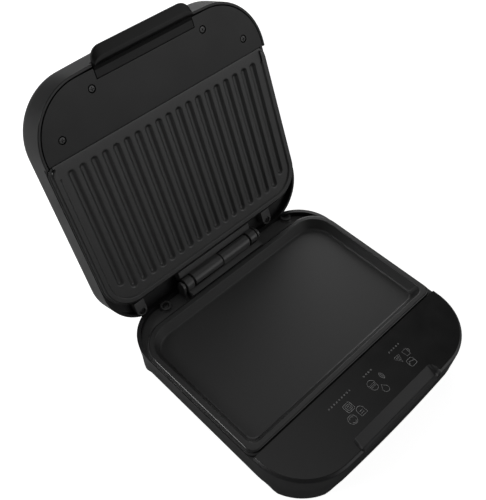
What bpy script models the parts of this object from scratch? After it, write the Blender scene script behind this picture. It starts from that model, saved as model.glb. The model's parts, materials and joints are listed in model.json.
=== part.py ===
"""Panini press: a hinged contact grill with a smooth lower griddle and a ribbed upper plate.

Both halves are drawn in the same half frame: its origin is on the hinge axis, +X runs along
the hinge, -Y runs to the front and +Z runs outwards, away from the food. The lid's frame is
tilted back about the hinge, and the base's frame is turned over about Y.
"""

import math

import bmesh
import bpy
from mathutils import Matrix, Vector

MM = 0.001

# Driving dimensions of the whole appliance
PLATE_WIDTH = 230 * MM
PLATE_DEPTH = 147 * MM
BODY_WIDTH = 231 * MM
DECK_DEPTH = 55.5 * MM
BASE_HEIGHT = 40 * MM
LID_HEIGHT = 33 * MM
RIM_GAP = 2.4 * MM
OPEN_ANGLE = math.radians(111.5)
WALL = 2.5 * MM
FIT = 0.3 * MM
FAR = 200 * MM

# Where the half frame meets the world: the origin is under the middle of the open press
HINGE_TO_PLATE = 13 * MM
HINGE_TO_BACK = 7.7 * MM
FRAME_TO_HINGE_Y = 54.5 * MM
HINGE_HEIGHT = BASE_HEIGHT + RIM_GAP / 2

# Levels in the half frame, outwards from the hinge plane
RIM_Z = RIM_GAP / 2
FLANGE = 4 * MM
WALL_TOP_Z = RIM_Z + FLANGE + FIT
LEDGE_Z = 11.6 * MM
COVER_SEAT_Z = RIM_Z + 1.7 * MM
BASE_FLOOR_Z = RIM_Z + 30 * MM
TABLE_Z = RIM_Z + BASE_HEIGHT
LID_TOP_Z = RIM_Z + LID_HEIGHT
TAB_Z = 18.5 * MM
TAB_THICKNESS = 2.5 * MM

# Lines across the half frame, from the hinge to the front
PLATE_BACK_Y = -HINGE_TO_PLATE
PLATE_FRONT_Y = PLATE_BACK_Y - PLATE_DEPTH
BODY_FRONT_Y = PLATE_FRONT_Y - DECK_DEPTH
BODY_BACK_Y = HINGE_TO_BACK
LEDGE_FRONT_Y = PLATE_BACK_Y - 32 * MM

# Corners
FRONT_CORNER = 51 * MM
BACK_CORNER = 41 * MM
FRONT_CROWN = 1.2 * MM
PLATE_FRONT_CORNER = 8 * MM
PLATE_BACK_CORNER = 30 * MM
CORNER_STEPS = 7

# Cooking surfaces
WELL_DEPTH = 9 * MM
GRILL_RECESS = 2 * MM
GROOVES = 19
GROOVE_PITCH = 10.8 * MM
GROOVE_WIDTH = 6.6 * MM
GROOVE_DEPTH = 3 * MM
GROOVE_BACK_Y = PLATE_BACK_Y - 15 * MM
GROOVE_FRONT_Y = PLATE_BACK_Y - 138 * MM
PLATE_FLOOR = 3 * MM

# Hinge
KNUCKLE_RADIUS = 6 * MM
KNUCKLE_X = (-34 * MM, -0.5 * MM)
LUG_X = (36 * MM, 44 * MM)
HINGE_ZONE_X = 49 * MM
PIN_RADIUS = 2 * MM
PIN_DEPTH_X = 25 * MM
LEAD_RADIUS = 2 * MM
LEAD_TURN_X = -14 * MM

# Fasteners
HEAD_RADIUS = 2.9 * MM
SHANK_RADIUS = 1.4 * MM
SCREW_LENGTH = 10 * MM
HEAD_HEIGHT = 1.6 * MM
BOSS_RADIUS = 4 * MM
COVER_SCREWS = [
    (side * x, PLATE_BACK_Y - v)
    for side in (-1, 1)
    for x, v in ((94 * MM, 162 * MM), (56 * MM, 186 * MM))
]
HINGE_SCREWS = [(67 * MM, 0.0), (-89 * MM, 0.0)]
PLATE_SCREWS = [(side * 96 * MM, y) for side in (-1, 1) for y in (-45 * MM, -130 * MM)]
FLOOR_SCREWS = [(-56 * MM, -196 * MM), (56 * MM, -196 * MM), (-57 * MM, -2 * MM), (52 * MM, -2 * MM)]

# Handle, from the edge of the lid cover to the tip of the lip
HANDLE_HALF_WIDTH = 48.5 * MM
HANDLE_ROOT_Y = PLATE_BACK_Y - 191 * MM
HANDLE_TIP_Y = PLATE_BACK_Y - 214.5 * MM
HANDLE_CORNER = 10 * MM

COLOURS = {
    "housing": ((0.022, 0.022, 0.023), 0.42, 0.0),
    "cover": ((0.018, 0.018, 0.018), 0.45, 0.0),
    "coating": ((0.028, 0.028, 0.028), 0.5, 0.2),
    "handle": ((0.016, 0.016, 0.016), 0.4, 0.0),
    "dark_screw": ((0.06, 0.06, 0.06), 0.35, 0.8),
    "steel": ((0.6, 0.6, 0.6), 0.3, 1.0),
    "aluminium": ((0.7, 0.7, 0.7), 0.4, 1.0),
    "rubber": ((0.02, 0.02, 0.02), 0.8, 0.0),
    "sleeve": ((0.75, 0.72, 0.65), 0.8, 0.0),
    "ceramic": ((0.8, 0.78, 0.72), 0.5, 0.0),
    "lens": ((0.55, 0.05, 0.02), 0.15, 0.0),
}


def clear_scene():
    for obj in list(bpy.data.objects):
        bpy.data.objects.remove(obj)


def new_collection(name):
    collection = bpy.data.collections.new(name)
    bpy.context.scene.collection.children.link(collection)
    return collection


def material(name):
    found = bpy.data.materials.get(name)
    if found:
        return found
    colour, roughness, metallic = COLOURS[name]
    made = bpy.data.materials.new(name)
    made.use_nodes = True
    shader = made.node_tree.nodes["Principled BSDF"]
    shader.inputs["Base Color"].default_value = (*colour, 1)
    shader.inputs["Roughness"].default_value = roughness
    shader.inputs["Metallic"].default_value = metallic
    return made


clear_scene()
PRESS = new_collection("panini_press")
CUTTERS = new_collection("cutters")


def empty_frame(name, rotation):
    """An empty on the hinge axis that carries one half of the press."""
    frame = bpy.data.objects.new(name, None)
    frame.location = (0, FRAME_TO_HINGE_Y, HINGE_HEIGHT)
    frame.rotation_euler = rotation
    PRESS.objects.link(frame)
    return frame


def add_object(name, data, frame, finish):
    """A named piece in the half frame, or a hidden helper where finish is None."""
    obj = bpy.data.objects.new(name, data)
    obj.parent = frame
    (PRESS if finish else CUTTERS).objects.link(obj)
    if finish:
        data.materials.clear()
        data.materials.append(material(finish))
    else:
        obj.hide_render = True
        obj.display_type = "WIRE"
    return obj


def mesh_from(bm, name):
    bmesh.ops.recalc_face_normals(bm, faces=bm.faces)
    mesh = bpy.data.meshes.new(name)
    bm.to_mesh(mesh)
    bm.free()
    return mesh


def baked(obj):
    """The evaluated mesh of a helper object, with its loose caps welded, and the helper removed."""
    graph = bpy.context.evaluated_depsgraph_get()
    mesh = bpy.data.meshes.new_from_object(obj.evaluated_get(graph))
    mesh.transform(obj.matrix_world)
    bm = bmesh.new()
    bm.from_mesh(mesh)
    bmesh.ops.remove_doubles(bm, verts=bm.verts, dist=1e-6)
    bm.to_mesh(mesh)
    bm.free()
    bpy.data.objects.remove(obj)
    return mesh


def poly_curve(name, points, cyclic):
    """A curve object of one POLY spline through 2D or 3D points."""
    curve = bpy.data.curves.new(name, "CURVE")
    spline = curve.splines.new("POLY")
    spline.points.add(len(points) - 1)
    for point, place in zip(spline.points, points):
        point.co = (*place, *[0] * (3 - len(place)), 1)
    spline.use_cyclic_u = cyclic
    obj = bpy.data.objects.new(name, curve)
    bpy.context.scene.collection.objects.link(obj)
    return obj


def slab_mesh(name, outline, thickness, matrix):
    """A flat outline thickened along its own Z, centred on it, then placed by a matrix."""
    obj = poly_curve(name, outline, cyclic=True)
    obj.data.dimensions = "2D"
    obj.data.fill_mode = "BOTH"
    obj.data.extrude = thickness / 2
    obj.matrix_world = matrix
    bpy.context.view_layer.update()
    return baked(obj)


def slab(name, frame, finish, outline, low, high):
    """A flat outline in the XY plane, from height low to height high."""
    matrix = Matrix.Translation((0, 0, (low + high) / 2))
    return add_object(name, slab_mesh(name, outline, high - low, matrix), frame, finish)


def bar(name, frame, finish, profile, left, right):
    """A YZ profile drawn out along X, from left to right."""
    turn = Matrix(((0, 0, 1), (1, 0, 0), (0, 1, 0))).to_4x4()
    matrix = Matrix.Translation(((left + right) / 2, 0, 0)) @ turn
    return add_object(name, slab_mesh(name, profile, right - left, matrix), frame, finish)


def box(name, frame, finish, low, high):
    low, high = Vector(low), Vector(high)
    bm = bmesh.new()
    place = Matrix.Translation((low + high) / 2) @ Matrix.Diagonal((*(high - low), 1))
    bmesh.ops.create_cube(bm, size=1, matrix=place)
    return add_object(name, mesh_from(bm, name), frame, finish)


def rod_mesh(name, start, end, radius, end_radius=None, segments=16):
    """A cylinder, or a cone where the end radius differs, between two points."""
    start, end = Vector(start), Vector(end)
    along = end - start
    place = Matrix.Translation((start + end) / 2) @ along.to_track_quat("Z", "Y").to_matrix().to_4x4()
    bm = bmesh.new()
    bmesh.ops.create_cone(
        bm,
        cap_ends=True,
        segments=segments,
        radius1=radius,
        radius2=radius if end_radius is None else end_radius,
        depth=along.length,
        matrix=place,
    )
    return mesh_from(bm, name)


def rod(name, frame, finish, start, end, radius, end_radius=None, segments=16):
    return add_object(name, rod_mesh(name, start, end, radius, end_radius, segments), frame, finish)


def tube(name, frame, finish, points, radius):
    """A round wire through the points, with filled caps."""
    obj = poly_curve(name, points, cyclic=False)
    obj.data.dimensions = "3D"
    obj.data.bevel_depth = radius
    obj.data.bevel_resolution = 2
    obj.data.use_fill_caps = True
    bpy.context.view_layer.update()
    return add_object(name, baked(obj), frame, finish)


def combine(target, other, operation):
    """Joins, cuts or intersects target with a helper, by a Boolean that stays on target."""
    modifier = target.modifiers.new(other.name, "BOOLEAN")
    modifier.operation = operation
    modifier.object = other
    modifier.solver = "EXACT"


def cut(target, *others):
    for other in others:
        combine(target, other, "DIFFERENCE")


def join(target, *others):
    for other in others:
        combine(target, other, "UNION")


def arc(centre, radius, start, end, steps):
    """Points along an arc, with its angles in degrees."""
    angles = [math.radians(start + (end - start) * i / steps) for i in range(steps + 1)]
    return [(centre[0] + radius * math.cos(a), centre[1] + radius * math.sin(a)) for a in angles]


def rounded(half_width, front, back, corners, inset=0.0, crown=0.0, least=1 * MM):
    """A rectangle with round corners, anticlockwise, inset all round, with a crowned front edge."""
    half_width, front, back = half_width - inset, front + inset, back - inset
    front_corner, back_corner = (max(corner - inset, least) for corner in corners)
    inner = half_width - front_corner
    points = arc((-inner, front + front_corner), front_corner, 180, 270, CORNER_STEPS)
    if crown:
        shares = [-0.6, -0.2, 0.2, 0.6]
        points += [(inner * s, front - crown * (1 - s * s)) for s in shares]
    points += arc((inner, front + front_corner), front_corner, 270, 360, CORNER_STEPS)
    inner = half_width - back_corner
    points += arc((inner, back - back_corner), back_corner, 0, 90, CORNER_STEPS)
    points += arc((-inner, back - back_corner), back_corner, 90, 180, CORNER_STEPS)
    return points


def body_outline(inset=0.0):
    corners = (FRONT_CORNER, BACK_CORNER)
    return rounded(BODY_WIDTH / 2, BODY_FRONT_Y, BODY_BACK_Y, corners, inset, FRONT_CROWN)


def plate_outline(inset=0.0):
    """The plate's edge: its front corners keep their radius in the rings inside it."""
    corners = (PLATE_FRONT_CORNER, PLATE_BACK_CORNER)
    return rounded(
        PLATE_WIDTH / 2, PLATE_FRONT_Y, PLATE_BACK_Y, corners, inset, least=PLATE_FRONT_CORNER
    )


def loft(name, frame, finish, outline, sections):
    """A closed solid through rings of one outline, each (inset, height), capped at both ends."""
    bm = bmesh.new()
    rings = [
        [bm.verts.new((x, y, height)) for x, y in outline(inset)] for inset, height in sections
    ]
    for below, above in zip(rings, rings[1:]):
        for i, corner in enumerate(below):
            following = (i + 1) % len(below)
            bm.faces.new((corner, below[following], above[following], above[i]))
    bm.faces.new(rings[0])
    bm.faces.new(rings[-1])
    return add_object(name, mesh_from(bm, name), frame, finish)


def screw_mesh(length, recessed):
    """A pan-head screw, head up, with its seat at height 0, its point below and maybe a cross recess."""
    profile = [
        (0, HEAD_HEIGHT),
        (HEAD_RADIUS * 0.7, HEAD_HEIGHT),
        (HEAD_RADIUS, HEAD_HEIGHT * 0.5),
        (HEAD_RADIUS, 0),
        (SHANK_RADIUS, 0),
        (SHANK_RADIUS, SHANK_RADIUS - length),
        (0, -length),
    ]
    bm = bmesh.new()
    verts = [bm.verts.new((x, 0, z)) for x, z in profile]
    for a, b in zip(verts, verts[1:]):
        bm.edges.new((a, b))
    mesh = bpy.data.meshes.new("screw_profile")
    bm.to_mesh(mesh)
    bm.free()
    obj = bpy.data.objects.new("screw_profile", mesh)
    bpy.context.scene.collection.objects.link(obj)
    turn = obj.modifiers.new("turn", "SCREW")
    turn.steps = turn.render_steps = 12
    turn.use_merge_vertices = True
    turn.merge_threshold = 1e-5
    slots = []
    for i, (across, along) in enumerate(((0.35, 1.6), (1.6, 0.35)) if recessed else ()):
        low = Vector((-across * MM, -along * MM, HEAD_HEIGHT - 0.9 * MM))
        high = Vector((across * MM, along * MM, HEAD_HEIGHT + 1 * MM))
        slots.append(box(f"recess_{i}", None, None, low, high))
    cut(obj, *slots)
    bpy.context.view_layer.update()
    made = baked(obj)
    for slot in slots:
        bpy.data.objects.remove(slot)
    return made


def place_screw(name, frame, finish, mesh, x, y, seat, outwards):
    """A screw whose head sits at height seat and faces outwards (+Z) or inwards (-Z)."""
    obj = add_object(name, mesh, frame, finish)
    obj.location = (x, y, seat)
    obj.rotation_euler = (0, 0 if outwards else math.pi, 0)
    return obj


def screw_boss(name, frame, x, y, start, end, depth):
    """A round boss from height start to its free end, bored there for a screw."""
    boss = rod(name, frame, None, (x, y, start), (x, y, end), BOSS_RADIUS)
    way = math.copysign(1, end - start)
    low, high = (x, y, end - way * depth), (x, y, end + way * MM)
    cut(boss, rod(f"{name}_bore", frame, None, low, high, SHANK_RADIUS + FIT))
    return boss


def hinge_profile(radius, foot):
    """A round head about the hinge axis, on a web that reaches out to the ledge."""
    return arc((0, 0), radius, 180, 360, 10) + [(radius, foot), (-radius, foot)]


def rear_ledge(name, frame):
    """The sunken shelf behind the plate, with the upstand that closes the plate's rear edge."""
    ledge = slab(f"{name}_ledge", frame, None, body_outline(1 * MM), LEDGE_Z, LEDGE_Z + WALL)
    upstand = slab(f"{name}_upstand", frame, None, plate_outline(0.8 * MM), WALL_TOP_Z, LEDGE_Z + 1 * MM)
    opening = slab(f"{name}_pan_opening", frame, None, plate_outline(3 * MM), 0, 40 * MM)
    rear = box(f"{name}_rear", frame, None, (-FAR, LEDGE_FRONT_Y, 0), (FAR, FAR, 40 * MM))
    join(ledge, upstand)
    combine(ledge, rear, "INTERSECT")
    cut(ledge, opening)
    return ledge


def open_rim(name, frame):
    """What is cut from the housing's rim: nothing at the deck, then the plate's flange, then the
    slope on which the two rear walls meet when the press stands open."""
    slope = math.tan(OPEN_ANGLE / 2)
    back = 50 * MM
    profile = [
        (PLATE_FRONT_Y - FIT, -back),
        (PLATE_FRONT_Y - FIT, WALL_TOP_Z),
        ((WALL_TOP_Z - FIT) / slope, WALL_TOP_Z),
        (back, back * slope + FIT),
        (back, -back),
    ]
    return bar(f"{name}_open_rim", frame, None, profile, -FAR, FAR)


def hinge_gap(name, frame):
    """What is cut from the rear wall behind the hinge, so that the other half's webs can turn."""
    return box(
        f"{name}_hinge_gap", frame, None,
        (-HINGE_ZONE_X, 0, -LEDGE_Z), (HINGE_ZONE_X, BODY_BACK_Y + 1 * MM, LEDGE_Z),
    )


def hinge_parts(name, frame, housing):
    """Adds the ledge, knuckle, lug, screw bosses and plate tabs that both housings share."""
    join(housing, rear_ledge(name, frame))
    profile = hinge_profile(KNUCKLE_RADIUS, LEDGE_Z + 1.2 * MM)
    knuckle = bar(f"{name}_knuckle", frame, None, profile, *KNUCKLE_X)
    lug = bar(f"{name}_lug", frame, None, profile, *LUG_X)
    join(housing, knuckle, lug)
    for i, (x, y) in enumerate(HINGE_SCREWS):
        boss = rod(
            f"{name}_hinge_boss_{i}", frame, None, (x, y, LEDGE_Z - 4 * MM), (x, y, LEDGE_Z + 12 * MM),
            5.2 * MM, segments=20,
        )
        join(housing, boss)
    for i, (x, y) in enumerate(PLATE_SCREWS):
        side = math.copysign(1, x)
        inner, outer = sorted((x - side * 6 * MM, side * (BODY_WIDTH / 2 - 1.5 * MM)))
        tab = box(
            f"{name}_tab_{i}", frame, None,
            (inner, y - 6 * MM, TAB_Z), (outer, y + 6 * MM, TAB_Z + TAB_THICKNESS),
        )
        join(housing, tab)


def hinge_holes(name, frame, housing):
    """Bores for the pins, the lead, and the screws of the shared parts."""
    bore = PIN_RADIUS + FIT
    left, right = KNUCKLE_X
    pin_hole = rod(
        f"{name}_knuckle_bore", frame, None, (left - 1 * MM, 0, 0), (-PIN_DEPTH_X, 0, 0), bore
    )
    lug_hole = rod(
        f"{name}_lug_bore", frame, None, (LUG_X[0] - 1 * MM, 0, 0), (LUG_X[1] + 1 * MM, 0, 0), bore
    )
    passage = LEAD_RADIUS + 2 * FIT
    turn_end = LEAD_TURN_X - passage - 0.5 * MM
    along = rod(
        f"{name}_lead_way", frame, None, (turn_end, 0, 0), (right + 1 * MM, 0, 0), passage + 0.4 * MM
    )
    down = rod(
        f"{name}_lead_drop", frame, None, (LEAD_TURN_X, 0, 0), (LEAD_TURN_X, 0, LEDGE_Z + 5 * MM), passage
    )
    cut(housing, pin_hole, lug_hole, along, down)
    for i, (x, y) in enumerate(HINGE_SCREWS):
        seat = LEDGE_Z - 2 * MM
        counterbore = rod(
            f"{name}_hinge_counterbore_{i}", frame, None, (x, y, seat - 6 * MM), (x, y, seat),
            HEAD_RADIUS + 0.5 * MM,
        )
        hole = rod(
            f"{name}_hinge_hole_{i}", frame, None, (x, y, seat - 1 * MM), (x, y, LEDGE_Z + 9 * MM),
            SHANK_RADIUS + FIT,
        )
        cut(housing, counterbore, hole)
    for i, (x, y) in enumerate(PLATE_SCREWS):
        hole = rod(
            f"{name}_tab_hole_{i}", frame, None, (x, y, TAB_Z - 2 * MM), (x, y, TAB_Z + 5 * MM),
            SHANK_RADIUS + FIT,
        )
        cut(housing, hole)


def leg_centres(inset=8 * MM):
    """A point for each corner leg, that far inside the corner arc."""
    reach = math.sqrt(0.5)
    centres = []
    for side in (-1, 1):
        for corner, edge, way in ((FRONT_CORNER, BODY_FRONT_Y, 1), (BACK_CORNER, BODY_BACK_Y, -1)):
            out = (corner - inset) * reach
            centre_x = BODY_WIDTH / 2 - corner + out
            centre_y = edge + way * (corner - out)
            centres.append((side * centre_x, centre_y))
    return centres


LEG_NAMES = ("front_right", "back_right", "front_left", "back_left")
LEG_FOOT_Z = TABLE_Z - 2 * MM
PAD_THICKNESS = 1.7 * MM


def base_housing(frame):
    """Side walls and front deck in one moulding, open below, on four corner legs."""
    housing = loft(
        "base_housing", frame, "housing", body_outline,
        [
            (3.2 * MM, RIM_Z),
            (1.0 * MM, RIM_Z + 0.9 * MM),
            (0.0, RIM_Z + 3.2 * MM),
            (1.8 * MM, BASE_FLOOR_Z),
            (1.8 * MM + WALL, BASE_FLOOR_Z),
            (WALL, RIM_Z + 5 * MM),
            (WALL + 1.5 * MM, RIM_Z + WALL),
        ],
    )
    opening = box(
        "base_plate_opening", frame, None,
        (-FAR, PLATE_FRONT_Y - FIT, -FAR), (FAR, FAR, RIM_Z + WALL + 2 * MM),
    )
    cut(housing, opening, open_rim("base", frame), hinge_gap("base", frame))
    divider = box(
        "base_divider", frame, None,
        (-112 * MM, PLATE_FRONT_Y - FIT - WALL, RIM_Z + 1 * MM), (112 * MM, PLATE_FRONT_Y - FIT, 14 * MM),
    )
    join(housing, divider)
    hinge_parts("base", frame, housing)
    for name, (x, y) in zip(LEG_NAMES, leg_centres()):
        leg = rod(
            f"leg_{name}", frame, None, (x, y, BASE_FLOOR_Z - 4 * MM), (x, y, LEG_FOOT_Z),
            25 * MM, 21 * MM, segments=32,
        )
        inside = loft(
            f"leg_{name}_outline", frame, None, body_outline,
            [(2.2 * MM, BASE_FLOOR_Z - 6 * MM), (1.9 * MM, BASE_FLOOR_Z), (3.5 * MM, TABLE_Z + 1 * MM)],
        )
        combine(leg, inside, "INTERSECT")
        join(housing, leg)
    for i, (x, y) in enumerate(FLOOR_SCREWS):
        top = RIM_Z + 1 * MM if y < PLATE_FRONT_Y else LEDGE_Z + 1 * MM
        floor = BASE_FLOOR_Z - WALL - FIT
        join(housing, screw_boss(f"floor_boss_{i}", frame, x, y, top, floor, 9 * MM))
    hinge_holes("base", frame, housing)
    join(housing, grip_backing(frame))
    cut(housing, grip_chamfer(frame), gland_hole(frame))
    return housing


GRIP_BACK_Y = PLATE_FRONT_Y - 43.5 * MM
GRIP_DEPTH = 5.2 * MM


def grip_backing(frame):
    """The wall below the sloped recess, joined to the deck and to the front wall."""
    front = BODY_FRONT_Y + 1 * MM
    profile = [
        (GRIP_BACK_Y + 3 * MM, RIM_Z + 1 * MM),
        (GRIP_BACK_Y + 2 * MM, RIM_Z + WALL + 0.5 * MM),
        (front, RIM_Z + GRIP_DEPTH + WALL + 0.5 * MM),
        (front, RIM_Z + 3.5 * MM),
    ]
    return bar("grip_backing", frame, None, profile, -52 * MM, 52 * MM)


def grip_chamfer(frame):
    """The sloped recess in the deck's front edge that clears the handle's lip."""
    back, lip, front = GRIP_BACK_Y, BODY_FRONT_Y + 1.5 * MM, BODY_FRONT_Y - 4 * MM
    profile = [
        (back, RIM_Z - 0.01 * MM),
        (back - 3.5 * MM, RIM_Z + 2.6 * MM),
        (back - 7 * MM, RIM_Z + 4.4 * MM),
        (lip, RIM_Z + GRIP_DEPTH),
        (front, RIM_Z + GRIP_DEPTH + 0.4 * MM),
        (front, -20 * MM),
        (back, -20 * MM),
    ]
    return bar("grip_chamfer", frame, None, profile, -50 * MM, 50 * MM)


GLAND_PLACE = (-70 * MM, BODY_BACK_Y, 22 * MM)
GLAND_RADIUS = 5 * MM


def gland_hole(frame):
    x, y, z = GLAND_PLACE
    return rod("gland_hole", frame, None, (x, y - 12 * MM, z), (x, y + 6 * MM, z), GLAND_RADIUS + FIT)


def cord_gland(frame):
    """The inlet bush in the rear wall, with a flange outside it."""
    x, y, z = GLAND_PLACE

    def sleeve(name, finish, start, end, radius):
        return rod(name, frame, finish, (x, y + start, z), (x, y + end, z), radius, segments=20)

    gland = sleeve("cord_gland", "rubber", -6 * MM, 3 * MM, GLAND_RADIUS)
    flange = sleeve("gland_flange", None, FIT, 2 * MM, GLAND_RADIUS + 2 * MM)
    bore = sleeve("gland_bore", None, -9 * MM, 6 * MM, GLAND_RADIUS - 1.7 * MM)
    join(gland, flange)
    cut(gland, bore)


def lid_housing(frame):
    """The lid's outer shell: upright walls that round over into a flat top."""
    wall_top = LID_TOP_Z - WALL
    housing = loft(
        "lid_housing", frame, "housing", body_outline,
        [
            (17 * MM, LID_TOP_Z),
            (9 * MM, LID_TOP_Z - 0.5 * MM),
            (4.5 * MM, LID_TOP_Z - 2.4 * MM),
            (1.4 * MM, LID_TOP_Z - 5.6 * MM),
            (0.0, LID_TOP_Z - 10 * MM),
            (0.0, RIM_Z),
            (2.2 * MM, RIM_Z),
            (2.2 * MM, RIM_Z + 4 * MM),
            (WALL, wall_top - 8 * MM),
            (5.5 * MM, wall_top - 2 * MM),
            (17 * MM, wall_top),
        ],
    )
    cut(housing, open_rim("lid", frame), hinge_gap("lid", frame))
    hinge_parts("lid", frame, housing)
    for i, (x, y) in enumerate(COVER_SCREWS):
        seat = RIM_Z + WALL + FIT
        join(housing, screw_boss(f"cover_boss_{i}", frame, x, y, wall_top + 1 * MM, seat, 12 * MM))
    hinge_holes("lid", frame, housing)
    slot_half = HANDLE_HALF_WIDTH + FIT
    slot = box(
        "handle_slot", frame, None,
        (-slot_half, BODY_FRONT_Y - 10 * MM, -20 * MM),
        (slot_half, BODY_FRONT_Y + 12 * MM, RIM_Z + 4 * MM + FIT),
    )
    cut(housing, slot, lens_hole(frame))
    return housing


def lid_cover(frame):
    """The flat inner cover in front of the grill plate, notched round the handle's root."""
    edge = 3.0 * MM
    cover = slab("lid_cover", frame, "cover", body_outline(edge), RIM_Z, RIM_Z + WALL)
    front = box(
        "cover_zone", frame, None,
        (-FAR, BODY_FRONT_Y - 10 * MM, -10 * MM), (FAR, PLATE_FRONT_Y - FIT, 20 * MM),
    )
    combine(cover, front, "INTERSECT")
    notch_half = HANDLE_HALF_WIDTH + 2 * FIT
    notch = box(
        "cover_notch", frame, None,
        (-notch_half, BODY_FRONT_Y - 10 * MM, -10 * MM), (notch_half, HANDLE_ROOT_Y + FIT, 20 * MM),
    )
    cut(cover, notch)
    for i, (x, y) in enumerate(COVER_SCREWS):
        hole = rod(
            f"cover_hole_{i}", frame, None, (x, y, -10 * MM), (x, y, 20 * MM), SHANK_RADIUS + FIT
        )
        head = rod(
            f"cover_counterbore_{i}", frame, None, (x, y, -10 * MM), (x, y, COVER_SEAT_Z), HEAD_RADIUS + FIT
        )
        cut(cover, hole, head)


def handle(frame):
    """A root flush with the cover, then a lip that bulges towards the base and reaches forward."""
    rim, root, tip = RIM_Z, HANDLE_ROOT_Y, HANDLE_TIP_Y
    profile = [
        (root, rim),
        (root - 6 * MM, rim),
        (root - 8.5 * MM, rim - 1.2 * MM),
        (root - 10.5 * MM, rim - 3.4 * MM),
        (root - 12.5 * MM, rim - 4.6 * MM),
        (root - 14.5 * MM, rim - 4.6 * MM),
        (tip + 1.2 * MM, rim - 3.0 * MM),
        (tip, rim - 1.8 * MM),
        (tip, rim - 0.6 * MM),
        (tip + 1.4 * MM, rim + 0.6 * MM),
        (root - 15 * MM, rim + 0.9 * MM),
        (root - 12.5 * MM, rim + 3.5 * MM),
        (root - 10.5 * MM, rim + 4 * MM),
        (root, rim + 4 * MM),
    ]
    grip = bar("handle", frame, "handle", profile, -HANDLE_HALF_WIDTH, HANDLE_HALF_WIDTH)
    over = 0.01 * MM
    outline = rounded(HANDLE_HALF_WIDTH + over, tip - over, root + 1 * MM, (HANDLE_CORNER, 0.0))
    plan = slab("handle_plan", frame, None, outline, -20 * MM, 20 * MM)
    combine(grip, plan, "INTERSECT")


def griddle_plate(frame):
    """The smooth lower plate: a flat rim round a shallow well, with cast bosses below."""
    floor = RIM_Z + WELL_DEPTH
    plate = loft(
        "griddle_plate", frame, "coating", plate_outline,
        [
            (15 * MM, floor + PLATE_FLOOR),
            (11 * MM, floor + PLATE_FLOOR - 1 * MM),
            (5 * MM, RIM_Z + FLANGE),
            (0.0, RIM_Z + FLANGE),
            (0.0, RIM_Z + 1.8 * MM),
            (0.8 * MM, RIM_Z + 0.6 * MM),
            (2.2 * MM, RIM_Z),
            (6.6 * MM, RIM_Z),
            (8.2 * MM, RIM_Z + 0.7 * MM),
            (9.6 * MM, RIM_Z + 2.6 * MM),
            (12.2 * MM, floor - 1.6 * MM),
            (14.5 * MM, floor),
        ],
    )
    plate_bosses("griddle", frame, plate, floor + PLATE_FLOOR - 1 * MM)


def grill_plate(frame):
    """The ribbed upper plate: a raised rim on three sides and open grooves from back to front."""
    face = RIM_Z + GRILL_RECESS
    back = face + GROOVE_DEPTH + PLATE_FLOOR
    plate = loft(
        "grill_plate", frame, "coating", plate_outline,
        [
            (6 * MM, back),
            (4.5 * MM, RIM_Z + FLANGE),
            (0.0, RIM_Z + FLANGE),
            (0.0, RIM_Z + 1.8 * MM),
            (0.8 * MM, RIM_Z + 0.6 * MM),
            (2.2 * MM, RIM_Z),
            (5.6 * MM, RIM_Z),
            (7.6 * MM, face),
        ],
    )
    side = PLATE_WIDTH / 2 - 8 * MM
    spout = box(
        "grill_front_rim", frame, None,
        (-side, PLATE_FRONT_Y - 1 * MM, -10 * MM), (side, PLATE_FRONT_Y + 9 * MM, face),
    )
    cut(plate, spout)
    for i in range(GROOVES):
        x = (i - (GROOVES - 1) / 2) * GROOVE_PITCH
        outermost = i in (0, GROOVES - 1)
        cut(plate, groove(f"groove_{i}", frame, x, GROOVE_BACK_Y - (9 * MM if outermost else 0), face))
    plate_bosses("grill", frame, plate, back - 1 * MM)


def groove(name, frame, x, back_y, face):
    """A channel with sloping sides and ends, narrower at its bottom."""
    half, slope = GROOVE_WIDTH / 2, 1.6 * MM

    def channel(inset):
        return [
            (x - half + inset, GROOVE_FRONT_Y + inset),
            (x + half - inset, GROOVE_FRONT_Y + inset),
            (x + half - inset, back_y - inset),
            (x - half + inset, back_y - inset),
        ]

    sections = [(-slope, face - GROOVE_DEPTH), (0.0, face), (slope, face + GROOVE_DEPTH)]
    return loft(name, frame, None, channel, sections)


def plate_bosses(name, frame, plate, start):
    for i, (x, y) in enumerate(PLATE_SCREWS):
        join(plate, screw_boss(f"{name}_boss_{i}", frame, x, y, start, TAB_Z - FIT, 5.5 * MM))


def element_path(height, clear):
    """A tubular element: two long runs joined by a round bend, its cold ends turned to the back."""
    half_width, front, back, bend = 72 * MM, -138 * MM, -52 * MM, 22 * MM
    flat = [(half_width - 30 * MM, back)]
    flat += arc((half_width - bend, back - bend), bend, 90, 0, 5)
    flat += arc((half_width - bend, front + bend), bend, 0, -90, 5)
    flat += arc((-half_width + bend, front + bend), bend, 270, 180, 5)
    flat += arc((-half_width + bend, back - bend), bend, 180, 90, 5)
    flat += [(-half_width + 30 * MM, back)]
    path = [(x, y, height) for x, y in flat]
    end_z = height + clear
    first, last = path[0], path[-1]
    return [(first[0] - 6 * MM, first[1], end_z)] + path + [(last[0] + 6 * MM, last[1], end_z)]


def heating_element(name, frame, back_face):
    radius = 3.2 * MM
    tube(name, frame, "steel", element_path(back_face + FIT + radius, 3 * MM), radius)


def heat_shield(name, frame, low):
    """A folded sheet tray that keeps the element's heat off the housing."""
    def outline(inset):
        return rounded(86 * MM, -150 * MM, -30 * MM, (12 * MM, 12 * MM), 8 * MM - inset)

    crown = low - 2.5 * MM
    sections = [(0.0, low + 1 * MM), (5 * MM, crown), (3.8 * MM, crown), (-0.6 * MM, low)]
    loft(name, frame, "aluminium", outline, sections)


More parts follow.
